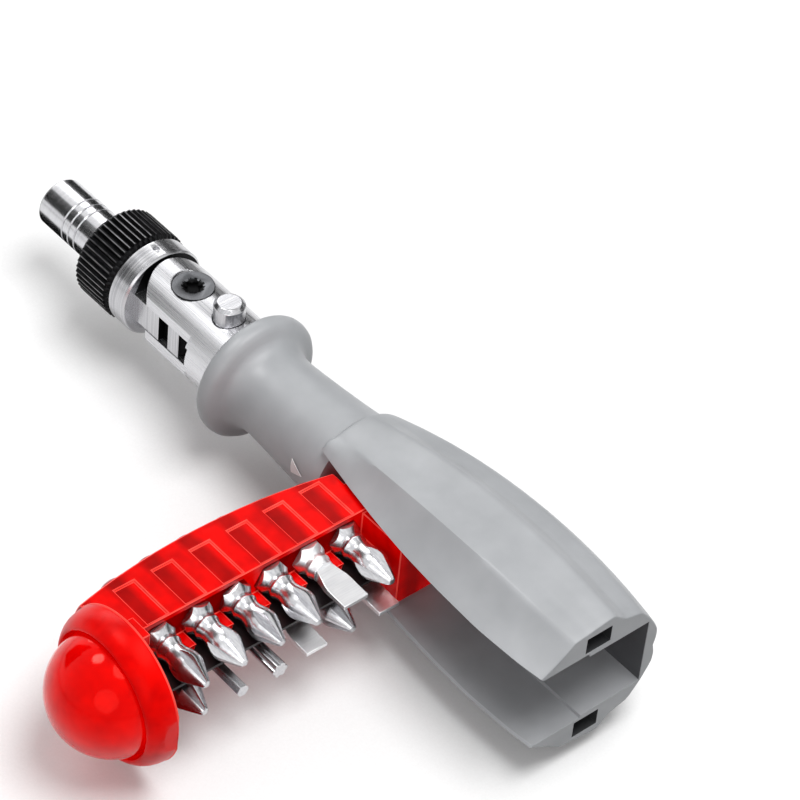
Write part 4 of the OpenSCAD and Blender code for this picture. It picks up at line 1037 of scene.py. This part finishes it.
@dataclass
class Studio:
    """A pale floor, soft lights, dark strips for the steel to mirror, and the photograph's camera."""

    floor_z: float = -18.2
    lens: float = 162.63
    seat: Triple = (-450.396, 338.470, 477.849)
    right: Triple = (-0.6426, -0.7621, 0.0791)
    down: Triple = (-0.5611, 0.3979, -0.7258)
    look: Triple = (0.5217, -0.5108, -0.6833)
    # Angle about the driver's axis from +Y towards +Z, width, start and end along the axis, distance and colour of
    # each mirrored strip: two for the tube, one for it and the collar, one on the floor under it and three for all
    strips: Sequence[tuple[float, float, float, float, float, str]] = (
        (50, 165, 107, 900, 200, "#020202"), (162, 220, 107, 900, 198, "#050505"),
        (32, 125, 84, 900, 202, "#030303"), (-90, 48, -6, 60, 17.4, "#0a0a0a"),
        (102, 280, -400, 235, 421, "#d4d4d4"), (152, 190, -400, 800, 422, "#060606"),
        (176, 90, -400, 800, 423, "#707070"))

    def build(self) -> None:
        """Makes the floor, the world, the lights and the camera."""
        bpy.context.scene.view_settings.view_transform = "Standard"
        self.camera()
        self.floor()
        self.world()
        middle = Vector((-95, 20, 0))
        self.lamp("key_light", middle, Vector((-230, -40, 520)), 420, 300, 2.1)
        self.lamp("fill_light", middle, Vector((-420, 420, 260)), 380, 380, 0.6)
        self.lamp("rim_light", middle, Vector((320, -160, 260)), 360, 240, 0.6)
        self.lamp("dome_spark", Vector((-113, 80, 0)), Vector((67, 143, 407)), 130, 130, 0.8).visible_diffuse = False
        for number, strip in enumerate(self.strips):
            self.card(f"mirrored_strip_{number}", *strip)

    def camera(self) -> None:
        """Places the camera where the photograph was taken from."""
        data = bpy.data.cameras.new("camera")
        data.sensor_width, data.lens = 36.0, self.lens
        data.clip_start, data.clip_end = 0.01, 10.0
        made = linked("camera", data)
        right, down, look = Vector(self.right), Vector(self.down), Vector(self.look)
        facing = Matrix((right, -down, -look)).transposed().to_4x4()
        made.matrix_world = shift(*Vector(self.seat) * MM) @ facing
        bpy.context.scene.camera = made

    @staticmethod
    def seen(shader: Shader) -> Socket:
        """Is 1 for camera, glossy and transmission rays, and 0 for the light that bounces."""
        path = shader.node("ShaderNodeLightPath")
        first = shader.node("ShaderNodeMath", {"operation": "MAXIMUM"}, {
            0: path.outputs["Is Camera Ray"], 1: path.outputs["Is Glossy Ray"]})
        return shader.node("ShaderNodeMath", {"operation": "MAXIMUM"}, {
            0: first.outputs[0], 1: path.outputs["Is Transmission Ray"]}).outputs[0]

    def floor(self) -> None:
        """Lays the pale floor: white to the camera and in reflections, with the object's shadow kept."""
        bm = bmesh.new()
        bmesh.ops.create_grid(bm, x_segments=1, y_segments=1, size=3000)
        made = Piece.mesh_object("floor", bm, shift(0, 0, self.floor_z))
        shader = Shader("matte_white_paper")
        grain = shader.ramp(shader.noise(0.4), [(0.3, linear("#fbfbfb")), (0.7, linear("#ffffff"))])
        colour = shader.node("ShaderNodeMix", {"data_type": "RGBA"}, {
            "Factor": self.seen(shader), "A": linear("#7a7a7a"), "B": grain})
        made.data.materials.append(shader.surface({
            "Base Color": colour.outputs["Result"], "Roughness": 1.0, "Specular IOR Level": 0.0}))

    def world(self) -> None:
        """Lights the room evenly, and shows white behind the object and in reflections."""
        world = bpy.data.worlds.new("studio")
        bpy.context.scene.world = world
        shader = Shader("studio", world)
        level = shader.node("ShaderNodeMapRange", inputs={"Value": self.seen(shader), "To Min": 0.4, "To Max": 1.0})
        glow = shader.node("ShaderNodeBackground", inputs={"Color": (1, 1, 1, 1), "Strength": level.outputs["Result"]})
        shader.link(glow.outputs["Background"], shader.output.inputs["Surface"])

    def lamp(self, name: str, at: Vector, seat: Vector, width: float, height: float, power: float) -> bpy.types.Object:
        """Adds a soft box.

        Args:
            name: the lamp's name.
            at: what it points at, in millimetres.
            seat: where it stands, in millimetres.
            width: its width in millimetres.
            height: its height in millimetres.
            power: its power in watts.

        Returns:
            The lamp.
        """
        data = bpy.data.lights.new(name, "AREA")
        data.shape, data.size, data.size_y, data.energy = "ELLIPSE", width * MM, height * MM, power
        made = linked(name, data)
        made.rotation_mode = "QUATERNION"
        made.rotation_quaternion = (at - seat).to_track_quat("-Z", "Y")
        made.location = seat * MM
        return made

    def card(self, name: str, angle: float, width: float, start: float, end: float, reach: float, colour: str) -> None:
        """Hangs a long strip of felt beside the driver's axis that only glossy surfaces see.

        Args:
            name: the strip's name.
            angle: where it hangs about the axis, in degrees from +Y towards +Z.
            width: its width in millimetres.
            start: where it begins along the axis, in millimetres.
            end: where it ends along the axis, in millimetres.
            reach: its distance from the axis in millimetres.
            colour: its colour.
        """
        bm = bmesh.new()
        bmesh.ops.create_grid(bm, x_segments=1, y_segments=1, size=0.5)
        moved(bm, resize(end - start, width, 1), shift((start + end) / 2, 0, 0))
        a = math.radians(angle)
        seat = shift(0, reach * math.cos(a), reach * math.sin(a)) @ turn(angle - 90, "X")
        made = Piece.mesh_object(name, bm, seat)
        shader = Shader(name + "_felt")
        nap = shader.ramp(shader.noise(2.0), [(0.3, linear(colour)), (0.7, tuple(1.1 * c for c in linear(colour)))])
        made.data.materials.append(shader.surface({"Base Color": nap, "Roughness": 1.0, "Specular IOR Level": 0.0}))
        made.visible_camera = made.visible_diffuse = made.visible_shadow = made.visible_transmission = False


def main() -> None:
    """Builds every piece in order."""
    logging.basicConfig(level=logging.INFO, format="%(message)s")
    palette = Palette()
    Studio().build()
    Grip().build(palette)
    DirectionRing().build(palette)
    Head().build(palette)
    Magazine().build(palette)


if __name__ == "__main__":
    main()
